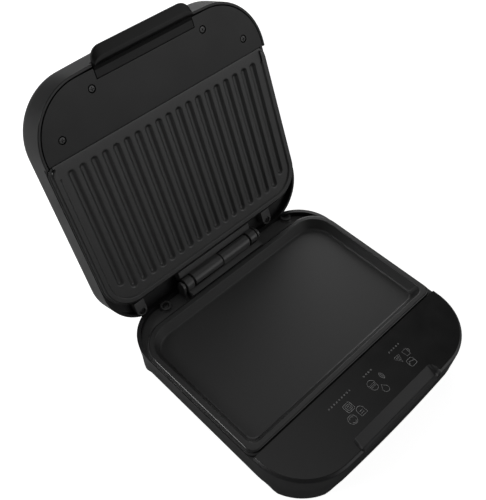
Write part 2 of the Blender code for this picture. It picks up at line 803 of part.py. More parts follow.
def thermostat(frame, seat):
    """A bimetal disc thermostat with two tabs, held against the back of the plate."""
    y = -95 * MM
    body = rod(
        "thermostat", frame, "ceramic", (0, y, seat), (0, y, seat + 6 * MM), 8 * MM, segments=20
    )
    for i, x in enumerate((-5 * MM, 5 * MM)):
        low = (x - 2.4 * MM, -95.4 * MM, seat + 5 * MM)
        high = (x + 2.4 * MM, -94.6 * MM, seat + 7.6 * MM)
        join(body, box(f"thermostat_tab_{i}", frame, None, low, high))


def thermal_fuse(frame, seat):
    y = -95 * MM
    z = seat + 2.5 * MM
    fuse = rod("thermal_fuse", frame, "steel", (-6 * MM, y, z), (6 * MM, y, z), 2 * MM)
    leads = rod(
        "fuse_leads", frame, None, (-16 * MM, y, z), (16 * MM, y, z), 0.6 * MM, segments=8
    )
    join(fuse, leads)


def terminal_block(frame):
    """The ceramic block inside the rear wall where the supply lead lands."""
    low = Vector((-62 * MM, -26 * MM, 16.5 * MM))
    high = Vector((-36 * MM, -15 * MM, 25.5 * MM))
    block = box("terminal_block", frame, "ceramic", low, high)
    for i in range(3):
        x = low.x + (i + 0.5) * (high.x - low.x) / 3
        y = (low.y + high.y) / 2
        start, end = (x, y, 14 * MM), (x, y, 23 * MM)
        cut(block, rod(f"terminal_way_{i}", frame, None, start, end, 2.2 * MM, segments=12))


def bottom_cover(frame):
    """The flat floor of the base, with two fields of vent slots and four screw holes."""
    low, high = BASE_FLOOR_Z - WALL, BASE_FLOOR_Z
    cover = slab("bottom_cover", frame, "housing", body_outline(1.8 * MM + WALL + 0.5 * MM), low, high)
    for name, (x, y) in zip(LEG_NAMES, leg_centres()):
        start, end = (x, y, 0), (x, y, 50 * MM)
        cut(cover, rod(f"cover_leg_gap_{name}", frame, None, start, end, 26 * MM, segments=32))
    for side in (-1, 1):
        for i in range(4):
            y = -76 * MM - i * 14 * MM
            near, far = sorted((side * 18 * MM, side * 62 * MM))
            slot = box(
                f"vent_{side}_{i}", frame, None, (near, y - 1.6 * MM, 0), (far, y + 1.6 * MM, 0.05)
            )
            cut(cover, slot)
    for i, (x, y) in enumerate(FLOOR_SCREWS):
        cut(cover, rod(f"floor_hole_{i}", frame, None, (x, y, 0), (x, y, 0.05), SHANK_RADIUS + FIT))


LENS_PLACE = (0.0, -190 * MM)
LENS_RADIUS = 3.5 * MM


def lens_hole(frame):
    x, y = LENS_PLACE
    low, high = (x, y, LID_TOP_Z - 6 * MM), (x, y, LID_TOP_Z + 2 * MM)
    return rod("lens_hole", frame, None, low, high, LENS_RADIUS + FIT)


def pilot_lamp(frame):
    """The lens in the lid's top and the neon lamp behind it."""
    x, y = LENS_PLACE
    low, high = (x, y, LID_TOP_Z - 3.5 * MM), (x, y, LID_TOP_Z + 0.6 * MM)
    rod("pilot_lens", frame, "lens", low, high, LENS_RADIUS, segments=20)
    low, high = (x, y, LID_TOP_Z - 15 * MM), (x, y, LID_TOP_Z - 4 * MM)
    rod("neon_lamp", frame, "ceramic", low, high, 2.4 * MM, segments=12)


def lead_path(end_y):
    """Half of the sleeved lead: out of the hollow knuckle, through its web and into the housing."""
    bend = 3.0 * MM
    turn = arc((LEAD_TURN_X + bend, bend), bend, 270, 180, 4)
    points = [(KNUCKLE_X[1] + 0.35 * MM, 0, 0)]
    points += [(x, 0, z) for x, z in turn]
    points += [(LEAD_TURN_X, 0, LEDGE_Z + 5 * MM)]
    inner = arc((0, LEDGE_Z + 5 * MM), 3.5 * MM, 0, 90, 4)
    points += [(LEAD_TURN_X, y - 3.5 * MM, z) for y, z in inner[1:]]
    points += [(LEAD_TURN_X, end_y, LEDGE_Z + 8.5 * MM)]
    return points


def build_base():
    frame = empty_frame("base_frame", (0, math.pi, 0))
    base_housing(frame)
    bottom_cover(frame)
    cord_gland(frame)
    griddle_plate(frame)
    plate_back = RIM_Z + WELL_DEPTH + PLATE_FLOOR
    heating_element("lower_heating_element", frame, plate_back)
    heat_shield("lower_heat_shield", frame, 24.2 * MM)
    thermal_fuse(frame, plate_back)
    terminal_block(frame)
    tube("base_lead", frame, "sleeve", lead_path(-28 * MM), LEAD_RADIUS)
    for name, (x, y) in zip(LEG_NAMES, leg_centres(16 * MM)):
        low, high = (x, y, TABLE_Z - PAD_THICKNESS), (x, y, TABLE_Z)
        rod(f"foot_pad_{name}", frame, "rubber", low, high, 9 * MM, 8.4 * MM, segments=20)
    return frame


def build_lid():
    frame = empty_frame("lid_frame", (-OPEN_ANGLE, 0, 0))
    lid_housing(frame)
    lid_cover(frame)
    handle(frame)
    grill_plate(frame)
    plate_back = RIM_Z + GRILL_RECESS + GROOVE_DEPTH + PLATE_FLOOR
    heating_element("upper_heating_element", frame, plate_back)
    heat_shield("upper_heat_shield", frame, 24.2 * MM)
    thermostat(frame, plate_back + FIT)
    pilot_lamp(frame)
    tube("lid_lead", frame, "sleeve", lead_path(-28 * MM), LEAD_RADIUS)
    return frame


def build_fasteners(base, lid):
    """Screws and hinge pins of both halves; equal screws share one mesh."""
    long_screw = screw_mesh(SCREW_LENGTH, recessed=True)
    short_screw = screw_mesh(7 * MM, recessed=False)
    for i, (x, y) in enumerate(COVER_SCREWS):
        place_screw(
            f"lid_cover_screw_{i + 1}", lid, "dark_screw", long_screw, x, y, COVER_SEAT_Z - FIT, False
        )
    for half, frame in (("base", base), ("lid", lid)):
        for i, (x, y) in enumerate(HINGE_SCREWS):
            place_screw(
                f"{half}_hinge_screw_{i + 1}", frame, "dark_screw", long_screw, x, y,
                LEDGE_Z - 2 * MM - FIT, False,
            )
        for i, (x, y) in enumerate(PLATE_SCREWS):
            seat = TAB_Z + TAB_THICKNESS + FIT
            place_screw(f"{half}_plate_screw_{i + 1}", frame, "steel", short_screw, x, y, seat, True)
        start, end = (PIN_DEPTH_X + 0.5 * MM, 0, 0), (LUG_X[1] + 1 * MM, 0, 0)
        rod(f"{half}_hinge_pin", frame, "steel", start, end, PIN_RADIUS)
    for i, (x, y) in enumerate(FLOOR_SCREWS):
        place_screw(
            f"bottom_screw_{i + 1}", base, "dark_screw", long_screw, x, y, BASE_FLOOR_Z + FIT, True
        )


base_frame = build_base()
lid_frame = build_lid()
build_fasteners(base_frame, lid_frame)
bpy.context.view_layer.update()
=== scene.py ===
"""The looks of the panini press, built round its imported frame."""

import json
import math

import bmesh
import bpy
from bpy.props import FloatProperty, FloatVectorProperty, IntProperty, PointerProperty
from mathutils import Matrix, Vector


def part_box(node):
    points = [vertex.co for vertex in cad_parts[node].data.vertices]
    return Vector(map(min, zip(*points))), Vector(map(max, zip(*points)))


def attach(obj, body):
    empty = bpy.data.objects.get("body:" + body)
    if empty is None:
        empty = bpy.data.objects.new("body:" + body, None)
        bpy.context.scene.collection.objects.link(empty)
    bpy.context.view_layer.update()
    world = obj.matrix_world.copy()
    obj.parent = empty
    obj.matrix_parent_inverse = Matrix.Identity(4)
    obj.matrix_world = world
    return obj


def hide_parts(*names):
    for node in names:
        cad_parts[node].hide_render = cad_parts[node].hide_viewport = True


bl_info = {
    "name": "Panini Press",
    "version": (1, 0, 0),
    "blender": (4, 5, 0),
    "location": "View3D > Sidebar > Panini Press",
    "description": "Builds a hinged contact grill with a griddle below and a ribbed plate above",
    "category": "Add Mesh",
}

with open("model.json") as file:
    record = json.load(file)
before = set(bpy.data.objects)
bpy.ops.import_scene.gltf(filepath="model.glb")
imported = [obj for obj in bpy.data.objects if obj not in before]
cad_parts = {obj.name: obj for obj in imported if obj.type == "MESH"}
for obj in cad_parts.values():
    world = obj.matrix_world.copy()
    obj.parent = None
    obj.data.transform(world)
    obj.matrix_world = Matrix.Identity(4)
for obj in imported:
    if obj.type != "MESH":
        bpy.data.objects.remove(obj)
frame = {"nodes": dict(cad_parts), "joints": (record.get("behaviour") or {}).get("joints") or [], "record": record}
for startup in ("Cube", "Light", "Camera"):
    if startup in bpy.data.objects:
        bpy.data.objects.remove(bpy.data.objects[startup])
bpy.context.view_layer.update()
MM = 0.001

# Places read from the frame
JOINT = frame["joints"][0]
HINGE = Vector(JOINT["pos_m"])
OPEN_ANGLE = math.radians(JOINT["range_deg"][1])
PLATE_LOW, PLATE_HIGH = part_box("griddle_plate")
HOUSING_LOW, HOUSING_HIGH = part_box("base_housing")
COVER_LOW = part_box("bottom_cover")[0]
HANDLE_LOW, HANDLE_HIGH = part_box("handle")

# Each half is drawn about the hinge: +X along it, -Y to the front, +Z outwards from the food
HALVES = {
    "base": Matrix.Translation(HINGE) @ Matrix.Rotation(math.pi, 4, "Y"),
    "lid": Matrix.Translation(HINGE) @ Matrix.Rotation(-OPEN_ANGLE, 4, "X"),
}
RIM = HINGE.z - PLATE_HIGH.z
PLATE_HALF = PLATE_HIGH.x
PLATE_BACK = PLATE_HIGH.y - HINGE.y
PLATE_FRONT = PLATE_LOW.y - HINGE.y
BODY_HALF = HOUSING_HIGH.x
BODY_BACK = HOUSING_HIGH.y - HINGE.y
CROWN = 1.2 * MM
BODY_FRONT = HOUSING_LOW.y - HINGE.y + CROWN
TABLE = HINGE.z
FLOOR = HINGE.z - COVER_LOW.z


def settings():
    return bpy.context.scene.panini_press


# The room's broad soft lights: direction, angles of full and of no light, strength
SOFT_LIGHTS = (
    ((0.1, 0.22, 0.97), 6, 27, 0.5),
    ((0.6, 0.66, 0.46), 6, 24, 3.4),
    ((-0.74, 0.4, 0.54), 3, 12, 11.0),
    ((0.64, -0.77, 0.06), 12, 48, 1.0),
)

# ---- meshes


def arc(centre, radius, start, end, steps):
    """Points along an arc, with its angles in degrees."""
    angles = [math.radians(start + (end - start) * i / steps) for i in range(steps + 1)]
    return [(centre[0] + radius * math.cos(a), centre[1] + radius * math.sin(a)) for a in angles]


def between(start, end, steps):
    """Points strictly between two others."""
    start, end = Vector(start), Vector(end)
    return [tuple(start.lerp(end, i / steps)) for i in range(1, steps)]


def smooth(value):
    value = min(max(value, 0.0), 1.0)
    return value * value * (3 - 2 * value)


def rounded(
    half, front, back, front_corner, back_corner, inset=0.0, crown=0.0, least=1 * MM, steps=14, run=1
):
    """A round-cornered rectangle, anticlockwise, inset all round, its front edge crowned."""
    half, front, back = half - inset, front + inset, back - inset
    front_corner = max(front_corner - inset, least)
    back_corner = max(back_corner - inset, least)
    inner, rear = half - front_corner, half - back_corner
    low_left = arc((-inner, front + front_corner), front_corner, 180, 270, steps)
    low_right = arc((inner, front + front_corner), front_corner, 270, 360, steps)
    high_right = arc((rear, back - back_corner), back_corner, 0, 90, steps)
    high_left = arc((-rear, back - back_corner), back_corner, 90, 180, steps)
    front_run = [
        (x, y - crown * (1 - (x / inner) ** 2)) for x, y in between(low_left[-1], low_right[0], max(run, 8))
    ]
    points = low_left + front_run + low_right
    points += between(low_right[-1], high_right[0], run) + high_right
    points += between(high_right[-1], high_left[0], run) + high_left
    return points + between(high_left[-1], low_left[0], run)


def body_outline(inset=0.0, run=1):
    sizes = settings().housing
    return rounded(
        BODY_HALF, BODY_FRONT, BODY_BACK, sizes.front_corner, sizes.back_corner, inset, CROWN,
        steps=20, run=run,
    )


def plate_outline(inset=0.0):
    sizes = settings().plate
    return rounded(
        PLATE_HALF, PLATE_FRONT, PLATE_BACK, sizes.front_corner, sizes.back_corner, inset,
        least=sizes.front_corner, steps=16,
    )


def filleted(origin, corners, steps=4):
    """A profile of rounded corners, each (across, height, radius) in millimetres from the origin."""
    spots = [(origin[0] + x * MM, origin[1] + z * MM) for x, z, _ in corners]
    points = []
    for i, spot in enumerate(spots):
        here, radius = Vector(spot), corners[i][2] * MM
        if radius <= 0 or i in (0, len(spots) - 1):
            points.append(spot)
            continue
        before = (Vector(spots[i - 1]) - here).normalized()
        after = (Vector(spots[i + 1]) - here).normalized()
        half_angle = before.angle(after) / 2
        reach = radius / math.tan(half_angle)
        start, end = here + before * reach, here + after * reach
        centre = here + (before + after).normalized() * (radius / math.sin(half_angle))
        for k in range(steps + 1):
            spoke = (start - centre).lerp(end - centre, k / steps)
            points.append(tuple(centre + spoke.normalized() * radius))
    return points


def mesh_from(bm, name, matrix=None):
    bmesh.ops.recalc_face_normals(bm, faces=bm.faces)
    mesh = bpy.data.meshes.new(name)
    bm.to_mesh(mesh)
    bm.free()
    if matrix:
        mesh.transform(matrix)
    return mesh


def new_object(name, mesh):
    obj = bpy.data.objects.new(name, mesh)
    bpy.context.scene.collection.objects.link(obj)
    return obj


def loft(name, rings, matrix=None):
    """A closed solid through rings of (x, y, z) points, capped at both ends."""
    bm = bmesh.new()
    rows = [[bm.verts.new(point) for point in ring] for ring in rings]
    for below, above in zip(rows, rows[1:]):
        for i, corner in enumerate(below):
            following = (i + 1) % len(below)
            bm.faces.new((corner, below[following], above[following], above[i]))
    bm.faces.new(rows[0])
    bm.faces.new(rows[-1])
    return new_object(name, mesh_from(bm, name, matrix))


def outline_loft(name, outline, profile):
    """A loft of one outline through a profile of (inset, height)."""
    return loft(name, [[(x, y, height) for x, y in outline(inset)] for inset, height in profile])


def bar(name, profile, left, right, bevel=0.0):
    """A YZ profile drawn out along X, with its sharp edges rounded."""
    obj = loft(name, [[(x, y, z) for y, z in profile] for x in (left, right)])
    if bevel:
        round_edges(obj, bevel)
    return obj


def turned(name, profile, matrix=None, steps=32):
    """A profile of (radius, height) turned about the Z axis."""
    rings = [
        [(max(r, 1e-5) * math.cos(math.tau * i / steps), max(r, 1e-5) * math.sin(math.tau * i / steps), z)
         for i in range(steps)]
        for r, z in profile
    ]
    return loft(name, rings, matrix)


def cylinder(name, start, end, radius):
    start, end = Vector(start), Vector(end)
    along = end - start
    spot = Matrix.Translation(start) @ along.to_track_quat("Z", "Y").to_matrix().to_4x4()
    return turned(name, [(radius, 0), (radius, along.length)], spot)


def block(name, low, high):
    low, high = Vector(low), Vector(high)
    return bar(name, [(low.y, low.z), (high.y, low.z), (high.y, high.z), (low.y, high.z)], low.x, high.x)


def round_edges(obj, width, segments=3, angle=35):
    modifier = obj.modifiers.new("rounded edges", "BEVEL")
    modifier.width, modifier.segments = width, segments
    modifier.limit_method, modifier.angle_limit = "ANGLE", math.radians(angle)


def cut(obj, *others, operation="DIFFERENCE"):
    """Cuts the others from obj, or joins them to it, and removes them."""
    for other in others:
        modifier = obj.modifiers.new(operation.lower(), "BOOLEAN")
        modifier.operation, modifier.object, modifier.solver = operation, other, "EXACT"
    settle(obj)
    for other in others:
        bpy.data.objects.remove(other)


def settle(obj):
    """Turns obj's modifiers, or its curve, into a plain mesh."""
    bpy.context.view_layer.update()
    graph = bpy.context.evaluated_depsgraph_get()
    mesh = bpy.data.meshes.new_from_object(obj.evaluated_get(graph))
    if obj.type == "MESH":
        obj.modifiers.clear()
        obj.data = mesh
        return obj
    name, matrix = obj.name, obj.matrix_world.copy()
    bpy.data.objects.remove(obj)
    mesh.transform(matrix)
    bm = bmesh.new()
    bm.from_mesh(mesh)
    bmesh.ops.remove_doubles(bm, verts=bm.verts, dist=1e-7)
    bm.to_mesh(mesh)
    bm.free()
    return new_object(name, mesh)


def joined(name, objs):
    """One object of several plain meshes."""
    bm = bmesh.new()
    for obj in objs:
        settle(obj)
        bm.from_mesh(obj.data)
        bpy.data.objects.remove(obj)
    return new_object(name, mesh_from(bm, name))


def add_spline(curve, points, closed=True):
    spline = curve.splines.new("POLY")
    spline.points.add(len(points) - 1)
    for point, (x, y) in zip(spline.points, points):
        point.co = (x, y, 0, 1)
    spline.use_cyclic_u = closed


def sheet_with_holes(name, outlines, low, high, edge):
    """A flat panel of one outer outline and any holes, with softly rounded edges."""
    curve = bpy.data.curves.new(name, "CURVE")
    curve.dimensions, curve.fill_mode = "2D", "BOTH"
    for outline in outlines:
        add_spline(curve, outline)
    curve.extrude = (high - low) / 2 - edge
    curve.bevel_depth, curve.bevel_resolution, curve.offset = edge, 2, -edge
    obj = new_object(name, curve)
    obj.location.z = (low + high) / 2
    bpy.context.view_layer.update()
    return settle(obj)


def line_work(name, strokes, radius):
    """Thin raised lines along strokes of (x, y) points."""
    curve = bpy.data.curves.new(name, "CURVE")
    curve.dimensions, curve.bevel_depth, curve.bevel_resolution = "3D", radius, 1
    curve.use_fill_caps = True
    for stroke in strokes:
        closed = (Vector(stroke[0]) - Vector(stroke[-1])).length < 1e-6
        add_spline(curve, stroke[:-1] if closed else stroke, closed)
    return settle(new_object(name, curve))


def place(obj, half, finishes, replaced=(), sharp=38):
    settle(obj)
    obj.data.transform(HALVES[half])
    obj.data.materials.clear()
    for finish in finishes:
        obj.data.materials.append(FINISHES[finish])
    obj.data.shade_smooth()
    obj.data.set_sharp_from_angle(angle=math.radians(sharp))
    flat = obj.modifiers.new("face weighted shading", "WEIGHTED_NORMAL")
    flat.keep_sharp = True
    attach(obj, half)
    if replaced:
        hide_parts(*replaced)


# ---- finishes


class Value:
    """A node's output that takes part in Python arithmetic."""

    def __init__(self, nodes, socket):
        self.nodes, self.socket = nodes, socket

    def maths(self, operation, *values):
        return self.nodes.node("ShaderNodeMath", dict(enumerate(values)), operation=operation)

    def __add__(self, other):
        return self.maths("ADD", self, other)

    def __sub__(self, other):
        return self.maths("SUBTRACT", self, other)

    def __rsub__(self, other):
        return self.maths("SUBTRACT", other, self)

    def __mul__(self, other):
        return self.maths("MULTIPLY", self, other)

    __radd__, __rmul__ = __add__, __mul__


class Nodes:
    """The node tree of a material or of the world."""

    def __init__(self, owner, coordinates):
        owner.use_nodes = True
        self.tree = owner.node_tree
        self.place = self.node("ShaderNodeTexCoord", output=coordinates)

    def node(self, kind, inputs=(), output=0, **options):
        """One output of a new node. Its options are set first, then its sockets get values or links."""
        made = self.tree.nodes.new(kind)
        for name, value in options.items():
            setattr(made, name, value)
        for socket, value in dict(inputs).items():
            if isinstance(value, Value):
                self.tree.links.new(value.socket, made.inputs[socket])
            else:
                made.inputs[socket].default_value = value
        return Value(self, made.outputs[output])


class Room(Nodes):
    """The world, lit by broad glows."""

    def glow(self, direction, inner, outer):
        """1 within the angle inner of a direction, fading to 0 at outer, both in degrees."""
        direction = Vector(direction).normalized()
        towards = self.node(
            "ShaderNodeVectorMath", {0: self.place, 1: direction}, "Value", operation="DOT_PRODUCT"
        )
        near, far = math.cos(math.radians(inner)), math.cos(math.radians(outer))
        return self.node(
            "ShaderNodeMapRange",
            {"Value": towards, "From Min": far, "From Max": near, "To Min": 0.0, "To Max": 1.0},
            clamp=True, interpolation_type="SMOOTHSTEP",
        )


class Finish(Nodes):
    """One material: its shader, and the nodes that vary it over a surface. Sizes are in millimetres."""

    def __init__(self, name, **constants):
        self.material = bpy.data.materials.new(name)
        super().__init__(self.material, "Object")
        self.shader = self.tree.nodes["Principled BSDF"]
        for socket, value in constants.items():
            self.shader.inputs[socket.replace("_", " ")].default_value = value

    def noise(self, size, detail=2.0, roughness=0.5, stretch=(1, 1, 1)):
        """Cloudy variation from 0 to 1 whose features are about size across."""
        spot = self.node("ShaderNodeMapping", {"Vector": self.place, "Scale": stretch})
        scale = 1 / (size * MM)
        return self.node(
            "ShaderNodeTexNoise", {"Vector": spot, "Scale": scale, "Detail": detail, "Roughness": roughness}
        )

    def ramp(self, value, low, high, start=0.0, end=1.0):
        """Value mapped from the span low to high onto the span start to end, and held there."""
        return self.node(
            "ShaderNodeMapRange",
            {"Value": value, "From Min": low, "From Max": high, "To Min": start, "To Max": end}, clamp=True,
        )

    def cells(self, size):
        """The distance to the nearest of scattered points, which lie about size apart."""
        scale = 1 / (size * MM)
        return self.node("ShaderNodeTexVoronoi", {"Vector": self.place, "Scale": scale}, "Distance")

    def flecks(self, size, share):
        """Small round specks, 1 on a speck and 0 between them."""
        return self.ramp(self.cells(size), share, share * 0.5)

    def edges(self, low=0.52, high=0.62):
        """1 on outward edges and 0 on flats and hollows."""
        point = self.node("ShaderNodeNewGeometry", output="Pointiness")
        return self.ramp(point, low, high)

    def mix(self, factor, first, second):
        """A blend of two colours."""
        first, second = (c if isinstance(c, Value) else (*c, 1) for c in (first, second))
        return self.node("ShaderNodeMix", {"Factor": factor, 6: first, 7: second}, 2, data_type="RGBA")

    def feed(self, **sockets):
        for name, value in sockets.items():
            self.tree.links.new(value.socket, self.shader.inputs[name.replace("_", " ")])

    def relief(self, *layers):
        """Stacked bumps, each (height value, depth, strength), that feed the shader's normal."""
        normal = None
        for height, depth, strength in layers:
            inputs = {"Height": height, "Distance": depth * MM, "Strength": strength}
            if normal:
                inputs["Normal"] = normal
            normal = self.node("ShaderNodeBump", inputs)
        self.feed(Normal=normal)


def shade(colour, factor):
    return tuple(min(channel * factor, 1.0) for channel in colour)


def moulded(name, colour, roughness, grain=0.25, grain_depth=0.02, ior=1.5):
    """Spark-eroded black plastic: fine grain, faint cloudiness and slightly polished edges."""
    finish = Finish(name, IOR=ior)
    cloud = finish.noise(28, 3)
    fine = finish.noise(grain, 2, 0.6)
    edge = finish.edges()
    base = finish.mix(cloud, shade(colour, 0.86), shade(colour, 1.14))
    finish.feed(
        Base_Color=finish.mix(edge * 0.35, base, shade(colour, 1.9)),
        Roughness=finish.ramp(cloud + fine * 0.6, 0.5, 1.1, roughness - 0.05, roughness + 0.06) - edge * 0.05,
    )
    finish.relief((fine, grain_depth, 0.35), (finish.noise(9, 2), 0.05, 0.12))
    return finish.material


def lacquered(name, colour, roughness):
    """The deck's glossy face: almost a mirror, with a faint ripple, haze and a few dust specks."""
    finish = Finish(name, IOR=1.5)
    haze = finish.noise(18, 4, 0.6)
    dust = finish.flecks(2.4, 0.035)
    finish.feed(
        Base_Color=finish.mix(dust * 0.4, finish.mix(haze, colour, shade(colour, 1.25)), shade(colour, 6)),
        Roughness=finish.ramp(haze, 0.3, 0.7, roughness, roughness + 0.07) + dust * 0.3,
    )
    finish.relief((finish.noise(6, 2), 0.03, 0.1), (finish.noise(0.5, 2), 0.004, 0.2))
    return finish.material


def non_stick(name, colour, roughness, ior=1.5):
    """Sprayed coating on cast metal: pebbled, flecked, a little rubbed along its edges."""
    finish = Finish(name, IOR=ior)
    cloud = finish.noise(35, 4, 0.55)
    pebble = finish.noise(0.55, 3, 0.65)
    pale = finish.flecks(0.9, 0.3)
    dark = finish.flecks(1.3, 0.22)
    edge = finish.edges(0.51, 0.6)
    base = finish.mix(cloud, shade(colour, 0.88), shade(colour, 1.12))
    base = finish.mix(pale * 0.5, base, shade(colour, 2.1))
    base = finish.mix(dark * 0.6, base, shade(colour, 0.45))
    rough = finish.ramp(pebble + cloud * 0.5, 0.4, 1.1, roughness - 0.06, roughness + 0.08)
    finish.feed(Base_Color=finish.mix(edge * 0.3, base, shade(colour, 2.6)), Roughness=rough - edge * 0.2)
    finish.relief((pebble, 0.05, 0.3), (finish.noise(7, 2), 0.08, 0.1))
    return finish.material


def bare_metal(name, colour, roughness, stretch=(1, 1, 1), grain=0.4):
    """Drawn, rolled or turned metal with a directional grain and dull patches."""
    finish = Finish(name, Metallic=1.0)
    lines = finish.noise(grain, 3, 0.6, stretch)
    patch = finish.noise(14, 3)
    finish.feed(
        Base_Color=finish.mix(patch, shade(colour, 0.8), colour),
        Roughness=finish.ramp(lines + patch, 0.6, 1.4, roughness - 0.07, roughness + 0.12),
    )
    finish.relief((lines, 0.01, 0.25))
    return finish.material


def soft_matte(name, colour, roughness, size, depth):
    """Rubber, ceramic or sleeving: an even matte surface with one scale of texture."""
    finish = Finish(name, IOR=1.45)
    grain = finish.noise(size, 3, 0.6)
    cloud = finish.noise(12, 3)
    finish.feed(
        Base_Color=finish.mix(cloud, shade(colour, 0.8), shade(colour, 1.1)),
        Roughness=finish.ramp(grain, 0.3, 0.7, roughness - 0.06, roughness + 0.06),
    )
    finish.relief((grain, depth, 0.4))
    return finish.material


def clear_red(name, colour):
    """The pilot lamp's lens, faintly faceted inside."""
    finish = Finish(name, IOR=1.49, Roughness=0.12)
    facets = finish.cells(1.2)
    finish.feed(Base_Color=finish.mix(facets, colour, shade(colour, 0.35)))
    finish.relief((facets, 0.05, 0.2))
    return finish.material


def make_finishes():
    tones = settings().tones
    return {
        "housing": moulded("satin black moulding", tones.housing, tones.housing_roughness),
        # Painted light: a copy of the housing's black moulding in a far lighter tone, which brightens the shaded
        # hinge ledge, knuckles and lugs
        "hinge": moulded("hinge moulding", tones.hinge, tones.housing_roughness, 0.3),
        "deck": lacquered("glossy black deck", tones.deck, tones.deck_roughness),
        "cover": moulded("matte black panel", tones.cover, tones.cover_roughness, 0.35, 0.015),
        "handle": moulded("smooth black handle", tones.handle, tones.handle_roughness, 0.3, 0.01, 1.33),
        "coating": non_stick("non-stick coating", tones.coating, tones.coating_roughness),
        # Painted light: the ribbed plate's coating is the griddle's coating painted 1.2 times lighter, so the
        # lid's plate reads as more brightly lit
        "rib_coating": non_stick(
            "ribbed plate's coating", shade(tones.coating, 1.2), tones.coating_roughness, 1.7
        ),
        "edge_coating": lacquered("smooth coated edge", tones.coating, 0.16),
        "dark_screw": bare_metal("blackened screw steel", tones.screw, 0.34),
        "steel": bare_metal("plain steel", (0.56, 0.55, 0.53), 0.3, (1, 8, 8)),
        "aluminium": bare_metal("rolled aluminium", (0.72, 0.72, 0.73), 0.38, (1, 12, 12), 0.8),
        "rubber": soft_matte("black rubber", (0.018, 0.018, 0.018), 0.78, 0.3, 0.03),
        "sleeve": soft_matte("woven glass sleeving", (0.72, 0.68, 0.6), 0.85, 0.6, 0.15),
        "ceramic": soft_matte("white steatite", (0.78, 0.76, 0.7), 0.45, 0.5, 0.02),
        "lens": clear_red("clear red lens", (0.5, 0.03, 0.015)),
        "print": soft_matte("pale grey print", tones.print, 0.55, 0.15, 0.01),
    }


FINISHES = {}


# ---- settings


def amount(name, description, value, **more):
    return FloatProperty(name=name, description=description, default=value, min=0.0, **more)


def length(name, description, value):
    return amount(name, description, value, subtype="DISTANCE", unit="LENGTH", precision=4)


def share(name, description, value):
    return amount(name, description, value, max=1.0, subtype="FACTOR")


def angle(name, description, degrees):
    return FloatProperty(name=name, description=description, default=math.radians(degrees), subtype="ANGLE")


def tone(name, description, value):
    return FloatVectorProperty(
        name=name, description=description, default=value, size=3, min=0.0, max=1.0, subtype="COLOR"
    )


class HousingSizes(bpy.types.PropertyGroup):
    front_corner: length("Front corner", "Radius of the body's front corners", 51 * MM)
    back_corner: length("Back corner", "Radius of the body's back corners", 41 * MM)
    wall: length("Wall", "Thickness of the moulded walls", 2.5 * MM)
    flange_gap: length("Seat below rim", "Height of the side walls' top edge below the plate's rim", 4.3 * MM)
    ledge: length("Ledge depth", "Depth of the hinge ledge below the hinge axis", 11.6 * MM)
    leg_reach: length("Leg reach", "Radius over which the lower edge drops to a corner leg", 31 * MM)
    grip_half: length("Grip half width", "Half the width of the finger recess in the deck", 52.5 * MM)
    grip_depth: length("Grip depth", "Depth of the finger recess at the deck's front edge", 5.2 * MM)


class PlateSizes(bpy.types.PropertyGroup):
    front_corner: length("Front corner", "Radius of the plates' front corners", 8 * MM)
    back_corner: length("Back corner", "Radius of the plates' back corners", 30 * MM)
    flange: length("Flange", "Height of the plates' outer edge", 4 * MM)
    rim: length("Rim", "Width of the flat rim round the griddle", 6.8 * MM)
    well: length("Well depth", "Depth of the griddle's floor below its rim", 9 * MM)
    recess: length("Grill recess", "Depth of the ribbed face below its rim", 1.6 * MM)
    grooves: IntProperty(
        name="Grooves", description="Number of grooves in the upper plate", default=19, min=1
    )
    pitch: length("Groove pitch", "Distance from one groove to the next", 10.8 * MM)
    groove_width: length("Groove width", "Width of a groove at its top", 6.8 * MM)
    groove_depth: length("Groove depth", "Depth of a groove", 2.3 * MM)


class Tones(bpy.types.PropertyGroup):
    housing: tone("Housing", "Colour of the satin black mouldings", (0.011, 0.011, 0.0115))
    housing_roughness: share("Housing roughness", "Roughness of the satin mouldings", 0.36)
    # Painted light: the hinge is the housing's black plastic, given this lighter tone so that its shaded ledge and
    # knuckles read brighter
    hinge: tone("Hinge", "Colour of the hinge ledge and its parts", (0.07, 0.07, 0.07))
    deck: tone("Deck", "Colour of the glossy deck", (0.004, 0.004, 0.004))
    deck_roughness: share("Deck roughness", "Roughness of the glossy deck", 0.16)
    cover: tone("Cover", "Colour of the lid's inner cover", (0.008, 0.008, 0.008))
    cover_roughness: share("Cover roughness", "Roughness of the lid's inner cover", 0.42)
    handle: tone("Handle", "Colour of the handle", (0.007, 0.007, 0.007))
    handle_roughness: share("Handle roughness", "Roughness of the handle", 0.34)
    coating: tone("Coating", "Colour of the non-stick coating", (0.022, 0.022, 0.022))
    coating_roughness: share("Coating roughness", "Roughness of the non-stick coating", 0.46)
    screw: tone("Screws", "Colour of the visible screws", (0.09, 0.09, 0.09))
    print: tone("Print", "Colour of the marks on the deck", (0.24, 0.24, 0.24))


class StageSettings(bpy.types.PropertyGroup):
    lens: amount("Lens", "Focal length on a 36 mm sensor", 52.26)
    distance: length("Distance", "From the camera to the point it looks at", 0.6861)
    azimuth: angle("Azimuth", "Camera's turn to the user's left", -44.2)
    elevation: angle("Elevation", "Camera's height above the horizon", 50)
    ambient: amount("Ambient", "Strength of the surrounding light", 0.1)
    floor_light: amount("Floor light", "Light the floor adds for the eye", 0.95)
    floor: tone("Floor", "Colour of the floor", (0.8, 0.8, 0.8))


class PressSettings(bpy.types.PropertyGroup):
    housing: PointerProperty(type=HousingSizes)
    plate: PointerProperty(type=PlateSizes)
    tones: PointerProperty(type=Tones)
    stage: PointerProperty(type=StageSettings)


# ---- shared shapes


